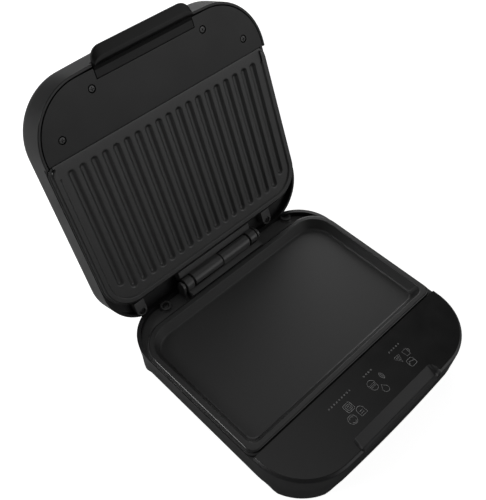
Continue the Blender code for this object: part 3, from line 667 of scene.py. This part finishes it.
def rim_opening():
    """A cutter for the space above the walls. It ends in the slope where the open halves meet."""
    sizes = settings().housing
    reach, seat, clear = 50 * MM, RIM + sizes.flange_gap, 0.01 * MM
    slope = math.tan(OPEN_ANGLE / 2)
    front = PLATE_FRONT - 0.3 * MM
    profile = [(front, -reach), (front, seat), ((seat - clear) / slope, seat)]
    profile += [(reach, reach * slope + clear), (reach, -reach)]
    return bar("rim_opening", profile, -0.2, 0.2)


def hinge_profile(radius, foot):
    """A round head about the hinge axis, on a web that reaches out to the ledge."""
    return arc((0, 0), radius, 180, 360, 28) + [(radius, foot), (-radius, foot)]


def hinge_ledge():
    """The shelf behind the plate, with an upstand along the plate's edge."""
    top = settings().housing.ledge
    front = PLATE_BACK - 32 * MM
    wide, narrow = BODY_HALF - 1 * MM, PLATE_HALF - 3 * MM

    def rear(outline, reach):
        return [p for p in outline if p[1] > PLATE_BACK - reach]

    shelf = [(wide, front), *rear(body_outline(1 * MM), 31 * MM), (-wide, front), (-narrow, front)]
    shelf += [*rear(plate_outline(3 * MM), 31 * MM)[::-1], (narrow, front)]
    lip = rear(plate_outline(0.8 * MM), 14 * MM) + rear(plate_outline(3 * MM), 14 * MM)[::-1]
    return [
        sheet_with_holes("shelf", [shelf], top, top + settings().housing.wall, 0.4 * MM),
        sheet_with_holes("upstand", [lip], RIM + settings().housing.flange_gap, top + 1 * MM, 0.4 * MM),
    ]


def screw_post(half, x, y, foot):
    """A ledge screw's seat: a round post in the base, a round-ended tab from the plate's edge in the lid."""
    if half == "lid":
        tab = arc((x, -2.8 * MM), 5.2 * MM, 0, 180, 20)
        tab += [(x - 5.2 * MM, PLATE_BACK + 0.4 * MM), (x + 5.2 * MM, PLATE_BACK + 0.4 * MM)]
        hole = arc((x, y), 3.1 * MM, 0, 345, 23)
        return sheet_with_holes("tab", [tab, hole], 3.6 * MM, foot, 0.5 * MM)
    profile = filleted((0, foot), [
        (6.6, 0, 0), (6.2, -1.2, 0.8), (5.2, -2, 0.6), (5.2, -4.4, 0.6), (3.3, -4.4, 0.3), (3.3, -2.4, 0),
    ])
    return turned("post", profile, Matrix.Translation((x, y, 0)), 40)


def hinge_parts(half, others=()):
    """The knuckle, the lug, the cheek beyond it, the cradle before them and the screws' seats."""
    foot = settings().housing.ledge + 1 * MM
    knuckle = bar("knuckle", hinge_profile(6 * MM, foot), -34 * MM, -0.5 * MM)
    lug = bar("lug", hinge_profile(6 * MM, foot), 36 * MM, 44 * MM)
    for part, end in ((knuckle, -35), (lug, 35)):
        cut(part, cylinder("pin_way", (end * MM, 0, 0), ((end + 10) * MM, 0, 0), 2.3 * MM))
        round_edges(part, 0.45 * MM)
    cheek = arc((0, 0), 5 * MM, 180, 360, 16) + [(6 * MM, foot), (-11 * MM, foot)]
    cheek += arc((-13 * MM, 4 * MM), 8 * MM, 70, 0, 6)
    cradle = arc((0, 0), 6.7 * MM, 152, 106, 8)
    cradle += [(-1.8 * MM, foot), (PLATE_BACK + 0.4 * MM, foot), (PLATE_BACK + 0.4 * MM, 3.1 * MM)]
    pieces = [*others, knuckle, lug, bar("cheek", cheek, 45.6 * MM, 48 * MM, 0.4 * MM)]
    pieces.append(bar("cradle", cradle, -44 * MM, 44 * MM, 0.4 * MM))
    pieces += [screw_post(half, x, y, foot) for x, y in ledge_screw_places(half)]
    # The hinge finish is the housing's black painted lighter, as painted light on these shaded parts
    place(joined(f"{half}_hinge_parts", pieces), half, ["hinge"])


def ledge_screw_places(half):
    across = -1.6 * MM if half == "lid" else 0.0
    return [(67 * MM, across), (-89 * MM, across)]


def screw(name, length_below, x, y, seat):
    """A pan-head screw with a cross recess, its head turned to the food."""
    head, shank, rise = 2.9, 1.4, 1.6
    obj = turned(name, filleted((0, 0), [
        (0, rise, 0), (head * 0.84, rise * 0.97, 0.5), (head, rise * 0.6, 0.3), (head, 0, 0),
        (shank, 0, 0), (shank, shank - length_below, 0), (0, -length_below, 0),
    ]))
    arms = []
    for a, b in ((1.7 * MM, 0.32 * MM), (0.32 * MM, 1.7 * MM)):
        arms.append(block("arm", (-a, -b, (rise - 1) * MM), (a, b, (rise + 1) * MM)))
    cut(obj, *arms)
    turn = Matrix.Rotation(math.pi, 4, "Y")
    spin = Matrix.Rotation(math.radians(31 + 47 * (x * 1000 + y * 300)), 4, "Z")
    obj.data.transform(Matrix.Translation((x, y, seat)) @ turn @ spin)
    return obj


def fit_screws(half, places, name, length_below, seat, node):
    """A screw at each place, which stands for the frame's screw of the same number."""
    for i, (x, y) in enumerate(places, 1):
        made = screw(f"{name}_{i}", length_below, x, y, seat)
        place(made, half, ["dark_screw"], [f"{node}_{i}"])


# ---- operators


class PRESS_OT_base_housing(bpy.types.Operator):
    """Build the base's walls, glossy deck, corner legs and hinge block"""

    bl_idname = "press.base_housing"
    bl_label = "Base housing"

    def execute(self, context):
        sizes = settings().housing
        run = 26
        legs = []
        ends = ((sizes.front_corner, BODY_FRONT, 1), (sizes.back_corner, BODY_BACK, -1))
        for side in (-1, 1):
            for radius, edge, way in ends:
                reach = (radius - 2 * MM) * math.sqrt(0.5)
                legs.append(Vector((side * (BODY_HALF - radius + reach), edge + way * (radius - reach))))
        foot = TABLE - 2 * MM

        def hem(x, y):
            """How far down the wall's lower edge reaches: the floor between legs, the foot at them."""
            near = min((Vector((x, y)) - leg).length for leg in legs)
            return FLOOR + (foot - FLOOR) * smooth((sizes.leg_reach - near) / (sizes.leg_reach * 0.4))

        def ring(inset, height):
            return [(x, y, height) for x, y in body_outline(inset, run)]

        def low_ring(inset, rise):
            points = zip(body_outline(0, run), body_outline(inset, run))
            return [(x, y, hem(*edge) - rise) for edge, (x, y) in points]

        top = filleted((0, RIM), [(9, 0, 0), (2.2, 0, 1.6), (0.15, 2, 1.5), (0, 4, 0)], 5)
        rings = [ring(inset, height) for inset, height in top]
        rings += [ring(1.0 * MM, (RIM + FLOOR) / 2 + 2 * MM), ring(1.6 * MM, FLOOR - 6 * MM)]
        rings += [low_ring(2.0 * MM, 0.7 * MM), low_ring(2.4 * MM, 0.15 * MM), low_ring(3.0 * MM, 0.0)]
        rings += [low_ring(4.4 * MM, 0.0), low_ring(4.8 * MM, 0.3 * MM), ring(4.5 * MM, FLOOR - 7 * MM)]
        rings += [ring(2.9 * MM, RIM + 6 * MM), ring(4.2 * MM, RIM + sizes.wall)]
        shell = loft("base_shell", rings)
        back, depth = PLATE_FRONT - 43.5 * MM, sizes.grip_depth
        front, deep = (BODY_FRONT - back) / MM, depth / MM
        scoop = filleted((back, RIM), [
            (1.5, -0.6, 0), (0, 0, 1.5), (front + 2.9, deep, 1.5), (front + 0.6, deep, 0.6),
            (front - 5, deep + 2.4, 0), (front - 5, -6.2, 0), (0, -6.2, 0),
        ], 5)
        recess = self.soft_ended(scoop, sizes.grip_half, 6.5 * MM)
        backing = block(
            "backing", (-55 * MM, BODY_FRONT + 1.2 * MM, RIM + 1 * MM),
            (55 * MM, back + 3 * MM, RIM + depth + 2.5 * MM),
        )
        cut(shell, backing, operation="UNION")
        cut(shell, rim_opening(), recess)
        gland, along = Vector((-70 * MM, BODY_BACK, 22 * MM)), Vector((0, 6 * MM, 0))
        cut(shell, cylinder("inlet", gland - along * 2, gland + along, 5.3 * MM))
        shell = joined("base_housing_shell", [shell, *self.soles(legs)])
        place(shell, "base", ["housing", "deck"], ["base_housing"])
        self.gloss(shell)
        hinge_parts("base", hinge_ledge())
        return {"FINISHED"}

    def soft_ended(self, profile, half, ease):
        """The recess's cutter, which grows shallow towards both ends."""
        stations = [half - ease * k / 8 for k in range(9)]
        shallow = RIM - 0.6 * MM
        rings = []
        for x in [-x for x in stations] + stations[::-1]:
            share = smooth((half - abs(x)) / ease)
            rings.append([(x, y, shallow + (z - shallow) * share if z > shallow else z) for y, z in profile])
        return loft("recess", rings)

    def soles(self, legs):
        """The closed underside of each hollow leg, round its rubber pad."""
        made = []
        for leg in legs:
            outline = body_outline(3.2 * MM, 26)
            inside = [(Vector(p) - leg).length < 18 * MM for p in outline]
            first = next(i for i, here in enumerate(inside) if here and not inside[i - 1])
            near = [outline[(first + k) % len(outline)] for k in range(sum(inside))]
            middle = sum((Vector(p) for p in near), Vector((0, 0))) / len(near)
            inward = (middle - leg).normalized()
            across = Vector((-inward.y, inward.x))
            bow = [tuple(leg + inward * 20 * MM * math.sin(a) + across * 18 * MM * math.cos(a))
                   for a in (math.radians(20 + 14 * i) for i in range(11))]
            end = Vector(near[-1])
            if (Vector(bow[0]) - end).length > (Vector(bow[-1]) - end).length:
                bow = bow[::-1]
            heights = (TABLE - 5 * MM, TABLE - 2.3 * MM)
            made.append(loft("sole", [[(x, y, z) for x, y in near + bow] for z in heights]))
        return made

    def gloss(self, shell):
        """Gives the glossy finish to the deck's flat face."""
        for face in shell.data.polygons:
            middle = face.center
            on_top = face.normal.z > 0.95 and middle.z > PLATE_HIGH.z - 1.4 * MM
            face.material_index = int(on_top and middle.y < PLATE_LOW.y)


class PRESS_OT_base_fittings(bpy.types.Operator):
    """Build the rubber pads, the cord inlet's bush and the base's visible screws"""

    bl_idname = "press.base_fittings"
    bl_label = "Base fittings"

    def execute(self, context):
        turn = HALVES["base"].inverted()
        for name in ("front_left", "front_right", "back_left", "back_right"):
            low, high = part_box(f"foot_pad_{name}")
            centre = turn @ ((low + high) / 2)
            half_height, radius = (high.z - low.z) / 2 / MM, (high.x - low.x) / 2 / MM
            profile = filleted((0, 0), [
                (0, half_height - 0.5, 0), (radius * 0.55, half_height - 0.5, 0.2),
                (radius * 0.62, half_height, 0.3), (radius * 0.94, half_height, 0.6),
                (radius, -half_height, 0), (0, -half_height, 0),
            ])
            pad = turned(f"rubber_pad_{name}", profile, Matrix.Translation(centre), 48)
            place(pad, "base", ["rubber"], [f"foot_pad_{name}"])
        seat = settings().housing.ledge - 1.4 * MM
        fit_screws("base", ledge_screw_places("base"), "ledge_screw", 10, seat, "base_hinge_screw")
        for node in ("cord_gland", "bottom_cover"):
            round_edges(frame["nodes"][node], 0.35 * MM, 2, 50)
        return {"FINISHED"}


class PRESS_OT_deck_marks(bpy.types.Operator):
    """Draw three groups of small food drawings on the deck, each below a row of dots"""

    bl_idname = "press.deck_marks"
    bl_label = "Deck marks"

    def execute(self, context):
        unit = 4.2 * MM

        def ring(x, y, radius, start=0, end=360, steps=20):
            return arc((x, y), radius, start, end, steps)

        def square(half, corner=0.25):
            return rounded(half, -half, half, corner, corner, steps=4, least=0.0) + [(-half, -half + corner)]

        toast = [square(0.9), square(0.55, 0.15), [(-0.3, 0.2), (0.3, 0.2)], [(-0.3, -0.2), (0.3, -0.2)]]
        bun = [ring(0, 0, 0.95), ring(0, 0.1, 0.5, 20, 160, 8), ring(0, -0.25, 0.45, 200, 340, 8)]
        loaf = [
            [(-0.8, -0.8), (0.8, -0.8), (0.8, 0.3), *ring(0, 0.3, 0.8, 0, 180, 10), (-0.8, -0.8)],
            [(-0.4, -0.3), (0.4, -0.3)], [(-0.4, 0.15), (0.4, 0.15)],
        ]
        burger = [
            [*ring(0, 0.1, 0.9, 0, 180, 12), (0.9, 0.1)], [(-0.95, -0.2), (0.95, -0.2)],
            [(-0.85, -0.5), *ring(0, -0.5, 0.85, 220, 320, 8), (0.85, -0.5), (-0.85, -0.5)],
        ]
        leaf = [
            [*ring(-0.35, 0, 1.0, -50, 50, 8), *ring(0.93, 0, 1.0, 130, 230, 8)], [(0.3, -0.7), (0.3, 0.5)],
        ]
        drop = [[*ring(0, -0.2, 0.7, -210, 30, 14), (0, 0.95), ring(0, -0.2, 0.7, -210, 30, 14)[0]]]
        pizza = [
            [(-0.8, 0.6), *ring(0, -1.4, 2.15, 112, 68, 6), (0, -0.95), (-0.8, 0.6)],
            *(ring(x, y, 0.15, steps=8) for x, y in ((-0.2, 0.25), (0.25, 0.3), (0.02, -0.25))),
        ]
        cup = [
            [(-0.7, 0.6), (0.5, 0.6), (0.4, -0.8), (-0.6, -0.8), (-0.7, 0.6)],
            ring(0.5, 0.0, 0.35, -80, 80, 8),
        ]
        wrap = [square(0.85, 0.4), [(-0.85, -0.2), (-0.2, 0.3), (0.85, -0.1)]]
        groups = (
            (-30.3, ((0.4, 1, toast), (-5.5, -1, bun), (5.5, -1, loaf)), 9),
            (5.0, ((-5.6, 1, burger), (5.6, 1, leaf), (0, -1, drop)), 4),
            (39.8, ((-5.1, 1, pizza), (4.9, 1, cup), (0.4, -1, wrap)), 5),
        )
        strokes = []
        for middle, drawings, dots in groups:
            for across, row, drawing in drawings:
                # The base's frame is turned over, so the drawing is mirrored to face the user
                centre = Vector((-(middle + across) * MM, PLATE_FRONT - 27.6 * MM + row * 4.6 * MM))
                for stroke in drawing:
                    strokes.append([(centre.x - x * unit, centre.y + y * unit) for x, y in stroke])
            for i in range(dots):
                x, y = -(middle + (i - (dots - 1) / 2) * 3.1) * MM, PLATE_FRONT - 13.4 * MM
                strokes.append([(x + u * MM, y + v * MM) for u, v in ring(0, 0, 0.55, steps=8)])
        marks = line_work("deck_marks", strokes, 0.17 * MM)
        marks.data.transform(Matrix.Translation((0, 0, RIM)) @ Matrix.Diagonal((1, 1, 0.25, 1)))
        place(marks, "base", ["print"])
        return {"FINISHED"}


def flange():
    """The plates' outer edge, from the rim's height: a thin lip below a side that rolls over to the rim."""
    foot = settings().plate.flange / MM
    return [(0, foot, 0.3), (0, foot - 1, 0.35), (1.3, foot - 1.3, 0.4), (1.3, 0, 1.7)]


def polish_roll(obj, half):
    """Gives the smooth finish to the roll round a plate's outer edge, where the coating is thin."""
    turn = HALVES[half].inverted()
    sizes = settings().plate
    for face in obj.data.polygons:
        x, y, z = turn @ face.center
        rear = y > (PLATE_BACK + PLATE_FRONT) / 2
        corner, edge = (sizes.back_corner, PLATE_BACK) if rear else (sizes.front_corner, -PLATE_FRONT)
        over = Vector((max(abs(x) - PLATE_HALF + corner, 0), max((y if rear else -y) - edge + corner, 0)))
        inset = corner - over.length
        face.material_index = int(1.25 * MM < inset < 2.9 * MM and z < RIM + 1.7 * MM)


class PRESS_OT_griddle(bpy.types.Operator):
    """Build the smooth lower plate with its rolled rim and shallow well"""

    bl_idname = "press.griddle"
    bl_label = "Griddle plate"

    def execute(self, context):
        sizes = settings().plate
        well, rim = sizes.well / MM, sizes.rim / MM
        profile = filleted((0, RIM), [
            (18, well + 3, 0), (10.5, well + 3, 2), (4.5, sizes.flange / MM, 0.8), *flange(), (rim, 0, 1),
            (rim + 1.4, 2.6, 1), (11.8, well, 2.4), (20, well, 0),
        ], 6)
        plate = outline_loft("griddle", plate_outline, profile)
        place(plate, "base", ["coating", "edge_coating"], ["griddle_plate"])
        polish_roll(plate, "base")
        return {"FINISHED"}


class PRESS_OT_grill(bpy.types.Operator):
    """Build the ribbed upper plate with its rim on three sides"""

    bl_idname = "press.grill"
    bl_label = "Grill plate"

    def execute(self, context):
        sizes = settings().plate
        face = RIM + sizes.recess
        deep = face + sizes.groove_depth + 1.2 * MM
        under = (deep - RIM) / MM
        profile = filleted((0, RIM), [
            (8, under + 1.8, 0), (6, under + 1.8, 1), (4.5, sizes.flange / MM, 0.6), *flange(), (6.6, 0, 0.7),
            (7.8, sizes.recess / MM, 0.3), (8.2, under, 0),
        ], 5)
        tray = outline_loft("grill_tray", plate_outline, profile)
        side = PLATE_HALF - 6.5 * MM
        mouth = block("mouth", (-side, PLATE_FRONT - 5 * MM, -20 * MM), (side, PLATE_FRONT + 12 * MM, deep))
        cut(tray, mouth)
        plate = joined("ribbed_plate", [tray, self.ribs(face, deep + 0.8 * MM)])
        # The ribbed face takes the coating painted lighter than the griddle's, as painted light
        place(plate, "lid", ["rib_coating", "edge_coating"], ["grill_plate"], sharp=50)
        polish_roll(plate, "lid")
        return {"FINISHED"}

    def ribs(self, face, under):
        """The grooved face as one solid: a fine grid above, its edge walls and a flat underside."""
        sizes = settings().plate
        half, pitch = sizes.groove_width / 2, sizes.pitch
        first = -(sizes.grooves - 1) / 2 * pitch
        back, front = PLATE_BACK - 15 * MM, PLATE_BACK - 138 * MM
        edge = 5.5 * MM

        def depth(x, y):
            i = min(max(round((x - first) / pitch), 0), sizes.grooves - 1)
            end = back - (9 * MM if i in (0, sizes.grooves - 1) else 0)
            nearest = min(max(y, front + half), end - half)
            away = math.hypot(x - (first + i * pitch), y - nearest) / half
            return sizes.groove_depth * smooth((1 - away) / 0.62)

        def back_edge(x):
            """The plate's rounded back outline, drawn in to lie under its rim."""
            corner = sizes.back_corner - edge
            over = max(abs(x) - (PLATE_HALF - sizes.back_corner), 0)
            return PLATE_BACK - edge - corner + math.sqrt(max(corner ** 2 - over ** 2, 0))

        columns = [first + (i - 0.5 + k / 14) * pitch for i in range(sizes.grooves) for k in range(14)]
        limit = PLATE_HALF - edge
        end_runs = [limit - (limit - abs(columns[0])) * k / 6 for k in range(6)]
        columns = [-x for x in end_runs] + columns + [-columns[0]] + end_runs[::-1]
        lower = [PLATE_FRONT + 0.05 * MM, PLATE_FRONT + 2 * MM, front - 1 * MM]
        lower += [front + k * 0.65 * MM for k in range(11)]
        lower += [front + (12 + 16 * k) * MM for k in range(5)]
        turn = back - 26 * MM
        bm = bmesh.new()
        grid = []
        for x in columns:
            upper = [turn + (back_edge(x) - turn) * k / 44 for k in range(45)]
            grid.append([bm.verts.new((x, y, face + depth(x, y))) for y in lower + upper])
        for left, right in zip(grid, grid[1:]):
            for k in range(len(left) - 1):
                bm.faces.new((left[k], right[k], right[k + 1], left[k + 1]))
        border = [column[0] for column in grid] + grid[-1][1:]
        border += [column[-1] for column in reversed(grid[:-1])] + grid[0][1:-1][::-1]
        skirt = [bm.verts.new((v.co.x, v.co.y, under)) for v in border]
        for i in range(len(border)):
            following = (i + 1) % len(border)
            bm.faces.new((border[i], border[following], skirt[following], skirt[i]))
        bm.faces.new(skirt)
        return new_object("ribs", mesh_from(bm, "ribs"))


class PRESS_OT_lid_housing(bpy.types.Operator):
    """Build the lid's outer shell with its hinge block"""

    bl_idname = "press.lid_housing"
    bl_label = "Lid housing"

    def execute(self, context):
        sizes = settings().housing
        top = RIM + 32.4 * MM
        inner = top - sizes.wall
        over, down, fullness = 16 * MM, 11 * MM, 2 / 2.9
        turn = [math.radians(90 - 90 * i / 14) for i in range(15)]
        outside = [(30 * MM, top)]
        outside += [
            (over * (1 - math.cos(t) ** fullness), top - down * (1 - math.sin(t) ** fullness)) for t in turn
        ]
        brow, under = (top - down - RIM) / MM - 1, (inner - RIM) / MM
        outside += filleted((0, RIM), [
            (0, brow, 0), (0, 0, 0.7), (2.4, 0, 0.5), (2.4, under - 9, 3), (7, under - 2, 3), (30, under, 0),
        ], 6)
        shell = outline_loft("lid_shell", body_outline, outside)
        slot_half = abs(HANDLE_LOW.x) + 0.3 * MM
        slot_low = (-slot_half, BODY_FRONT - 10 * MM, -20 * MM)
        slot = block("slot", slot_low, (slot_half, BODY_FRONT + 12 * MM, RIM + 4.3 * MM))
        lamp = cylinder("lamp_hole", (0, -190 * MM, top - 8 * MM), (0, -190 * MM, top + 2 * MM), 3.8 * MM)
        cut(shell, rim_opening(), slot, lamp)
        boss = filleted((0, RIM), [(2.9, 2.8, 0), (4, 2.8, 0.3), (4.4, under + 1, 0)])
        bosses = [turned("cover_boss", boss, Matrix.Translation((x, y, 0))) for x, y in cover_screw_places()]
        shell = joined("lid_housing_shell", [shell, *hinge_ledge(), *bosses])
        place(shell, "lid", ["housing"], ["lid_housing"])
        hinge_parts("lid")
        fit_screws("lid", ledge_screw_places("lid"), "lid_ledge_screw", 12, 6.6 * MM, "lid_hinge_screw")
        profile = filleted((0, top), [
            (0, 0.6, 0), (2.4, 0.5, 1), (3.5, 0, 0.5), (3.5, -3.5, 0.2), (0, -3.5, 0),
        ])
        lens = turned("pilot_window", profile, Matrix.Translation((0, -190 * MM, 0)))
        place(lens, "lid", ["lens"], ["pilot_lens"])
        return {"FINISHED"}


def cover_screw_places():
    inner, outer = (56 * MM, PLATE_BACK - 186 * MM), (94 * MM, PLATE_BACK - 162 * MM)
    return [(side * x, y) for side in (-1, 1) for x, y in (outer, inner)]


class PRESS_OT_lid_cover(bpy.types.Operator):
    """Build the flat inner cover and its four screws"""

    bl_idname = "press.lid_cover"
    bl_label = "Lid cover"

    def execute(self, context):
        gap = 3.0 * MM
        half = BODY_HALF - gap
        back = PLATE_FRONT - 0.9 * MM
        root = PLATE_BACK - 190.7 * MM
        notch = abs(HANDLE_LOW.x) + 0.6 * MM
        outline = [p for p in body_outline(gap) if p[1] < back - 0.5 * MM]
        left = sorted((p for p in outline if p[0] < -notch), key=lambda p: (p[0], -p[1]))
        right = sorted(p for p in outline if p[0] > notch)
        front = left[-1][1]
        corners = [(-notch, front), (-notch, root), (notch, root), (notch, front)]
        outline = [(-half, back), *left, *corners, *right, (half, back)]
        holes = [arc(spot, 3.25 * MM, 0, 352, 44) for spot in cover_screw_places()]
        cover = sheet_with_holes("inner_cover", [outline, *holes], RIM, RIM + 2.5 * MM, 0.35 * MM)
        place(cover, "lid", ["cover"], ["lid_cover"])
        fit_screws("lid", cover_screw_places(), "cover_screw", 10, RIM + 1.8 * MM, "lid_cover_screw")
        return {"FINISHED"}


class PRESS_OT_handle(bpy.types.Operator):
    """Build the handle: a root flush with the cover and a round-cornered lip"""

    bl_idname = "press.handle"
    bl_label = "Handle"

    def execute(self, context):
        half = HANDLE_HIGH.x
        root = PLATE_BACK - 191 * MM
        tip = root - 23.5 * MM
        section = filleted((root, RIM), [
            (0, 4, 0), (0, 0, 0.3), (-6.4, 0, 1.5), (-9.4, -1, 1.2), (-11.8, -4.7, 2.4), (-15.5, -4.7, 5),
            (-23.5, -2.4, 0.9), (-23.1, 0.3, 0.8), (-13.6, 0.9, 2), (-11.6, 4, 1),
        ], 5)
        corner = 10 * MM
        stations = [half - corner + corner * math.sin(math.radians(a)) for a in range(0, 91, 6)]
        stations = [-x for x in reversed(stations)] + stations

        def reach(x):
            """How much shorter the lip is beside its rounded corners."""
            over = max(abs(x) - (half - corner), 0)
            return corner - math.sqrt(max(corner ** 2 - over ** 2, 0))

        bend = root - 10 * MM
        rings = []
        for x in stations:
            squeeze = (bend - tip - reach(x)) / (bend - tip)
            rings.append([(x, y if y > bend else bend + (y - bend) * squeeze, z) for y, z in section])
        handle = loft("lip_handle", rings)
        round_edges(handle, 0.7 * MM, 3, 50)
        place(handle, "lid", ["handle"], ["handle"])
        return {"FINISHED"}


class PRESS_OT_inner_finishes(bpy.types.Operator):
    """Finish the working parts that stay as the frame has them"""

    bl_idname = "press.inner_finishes"
    bl_label = "Inner parts"

    def execute(self, context):
        slots = {part["node"]: part["material_slot"] for part in frame["record"]["subparts"]}
        for name, node in frame["nodes"].items():
            node.data.materials.clear()
            node.data.materials.append(FINISHES[slots[name]])
            if not node.hide_render:
                node.data.shade_smooth()
                node.data.set_sharp_from_angle(angle=math.radians(35))
        return {"FINISHED"}


class PRESS_OT_stage(bpy.types.Operator):
    """Set up the pale floor, the studio lights and the camera"""

    bl_idname = "press.stage"
    bl_label = "Stage"

    def execute(self, context):
        stage = settings().stage
        self.floor(stage)
        self.surroundings(context, stage)
        data = bpy.data.cameras.new("camera")
        data.lens, data.sensor_width = stage.lens, 36
        data.clip_start, data.clip_end = 0.01, 20
        camera = new_object("camera", data)
        target = HINGE + Vector((24.0, -6.3, -1.2)) * MM
        a, e = stage.azimuth, stage.elevation
        back = Vector((math.sin(a) * math.cos(e), -math.cos(a) * math.cos(e), math.sin(e)))
        camera.location = target + back * stage.distance
        camera.rotation_euler = (-back).to_track_quat("-Z", "Y").to_euler()
        context.scene.camera = camera
        return {"FINISHED"}

    def surroundings(self, context, stage):
        """A dim room with broad soft lights: overhead, behind on both sides, and low in front."""
        context.scene.world = bpy.data.worlds.new("studio")
        context.scene.view_settings.view_transform = "Standard"
        room = Room(context.scene.world, "Generated")
        light = stage.ambient
        for direction, inner, outer, strength in SOFT_LIGHTS:
            light = light + room.glow(direction, inner, outer) * strength
        sky = room.tree.nodes["Background"]
        sky.inputs["Color"].default_value = (1, 1, 1, 1)
        room.tree.links.new(light.socket, sky.inputs["Strength"])

    def floor(self, stage):
        """Pale to the eye; in reflections it is dim in front, as if shaded by black cards."""
        finish = Finish("pale floor", IOR=1.4)
        cloud = finish.noise(300, 2)
        across, along = (
            finish.node("ShaderNodeSeparateXYZ", {"Vector": finish.place}, axis) for axis in (0, 1)
        )
        behind = finish.ramp(along - across, -0.1, 0.35)
        finish.feed(
            Base_Color=finish.mix(behind, shade(stage.floor, 0.3), stage.floor),
            Roughness=finish.ramp(cloud, 0.3, 0.7, 0.75, 0.85),
        )
        plain = Value(finish, finish.shader.outputs[0])
        glowing = finish.node("ShaderNodeEmission", {"Strength": stage.floor_light})
        lit = finish.node("ShaderNodeAddShader", {0: glowing, 1: plain})
        seen = finish.node("ShaderNodeLightPath", output="Is Camera Ray")
        surface = finish.node("ShaderNodeMixShader", {0: seen, 1: plain, 2: lit})
        finish.tree.links.new(surface.socket, finish.tree.nodes["Material Output"].inputs["Surface"])
        bm = bmesh.new()
        bmesh.ops.create_grid(bm, x_segments=1, y_segments=1, size=6)
        floor = new_object("floor", mesh_from(bm, "floor"))
        floor.data.materials.append(finish.material)


class PRESS_PT_panel(bpy.types.Panel):
    """Sizes, tones and the build steps of the panini press"""

    bl_label = "Panini Press"
    bl_idname = "PRESS_PT_panel"
    bl_space_type = "VIEW_3D"
    bl_region_type = "UI"
    bl_category = "Panini Press"

    def draw(self, context):
        press = context.scene.panini_press
        for title in ("housing", "plate", "tones", "stage"):
            group = getattr(press, title)
            column = self.layout.box().column()
            column.label(text=title.capitalize())
            for name in group.__annotations__:
                column.prop(group, name)
        for step in STEPS:
            self.layout.operator(step.bl_idname)


STEPS = (
    PRESS_OT_base_housing,
    PRESS_OT_base_fittings,
    PRESS_OT_deck_marks,
    PRESS_OT_griddle,
    PRESS_OT_grill,
    PRESS_OT_lid_housing,
    PRESS_OT_lid_cover,
    PRESS_OT_handle,
    PRESS_OT_inner_finishes,
    PRESS_OT_stage,
)
CLASSES = (HousingSizes, PlateSizes, Tones, StageSettings, PressSettings, *STEPS, PRESS_PT_panel)


def register():
    for cls in CLASSES:
        bpy.utils.register_class(cls)
    bpy.types.Scene.panini_press = PointerProperty(type=PressSettings)


def unregister():
    del bpy.types.Scene.panini_press
    for cls in reversed(CLASSES):
        bpy.utils.unregister_class(cls)


def main():
    register()
    FINISHES.update(make_finishes())
    for step in STEPS:
        group, name = step.bl_idname.split(".")
        getattr(getattr(bpy.ops, group), name)()


if __name__ == "__main__":
    main()
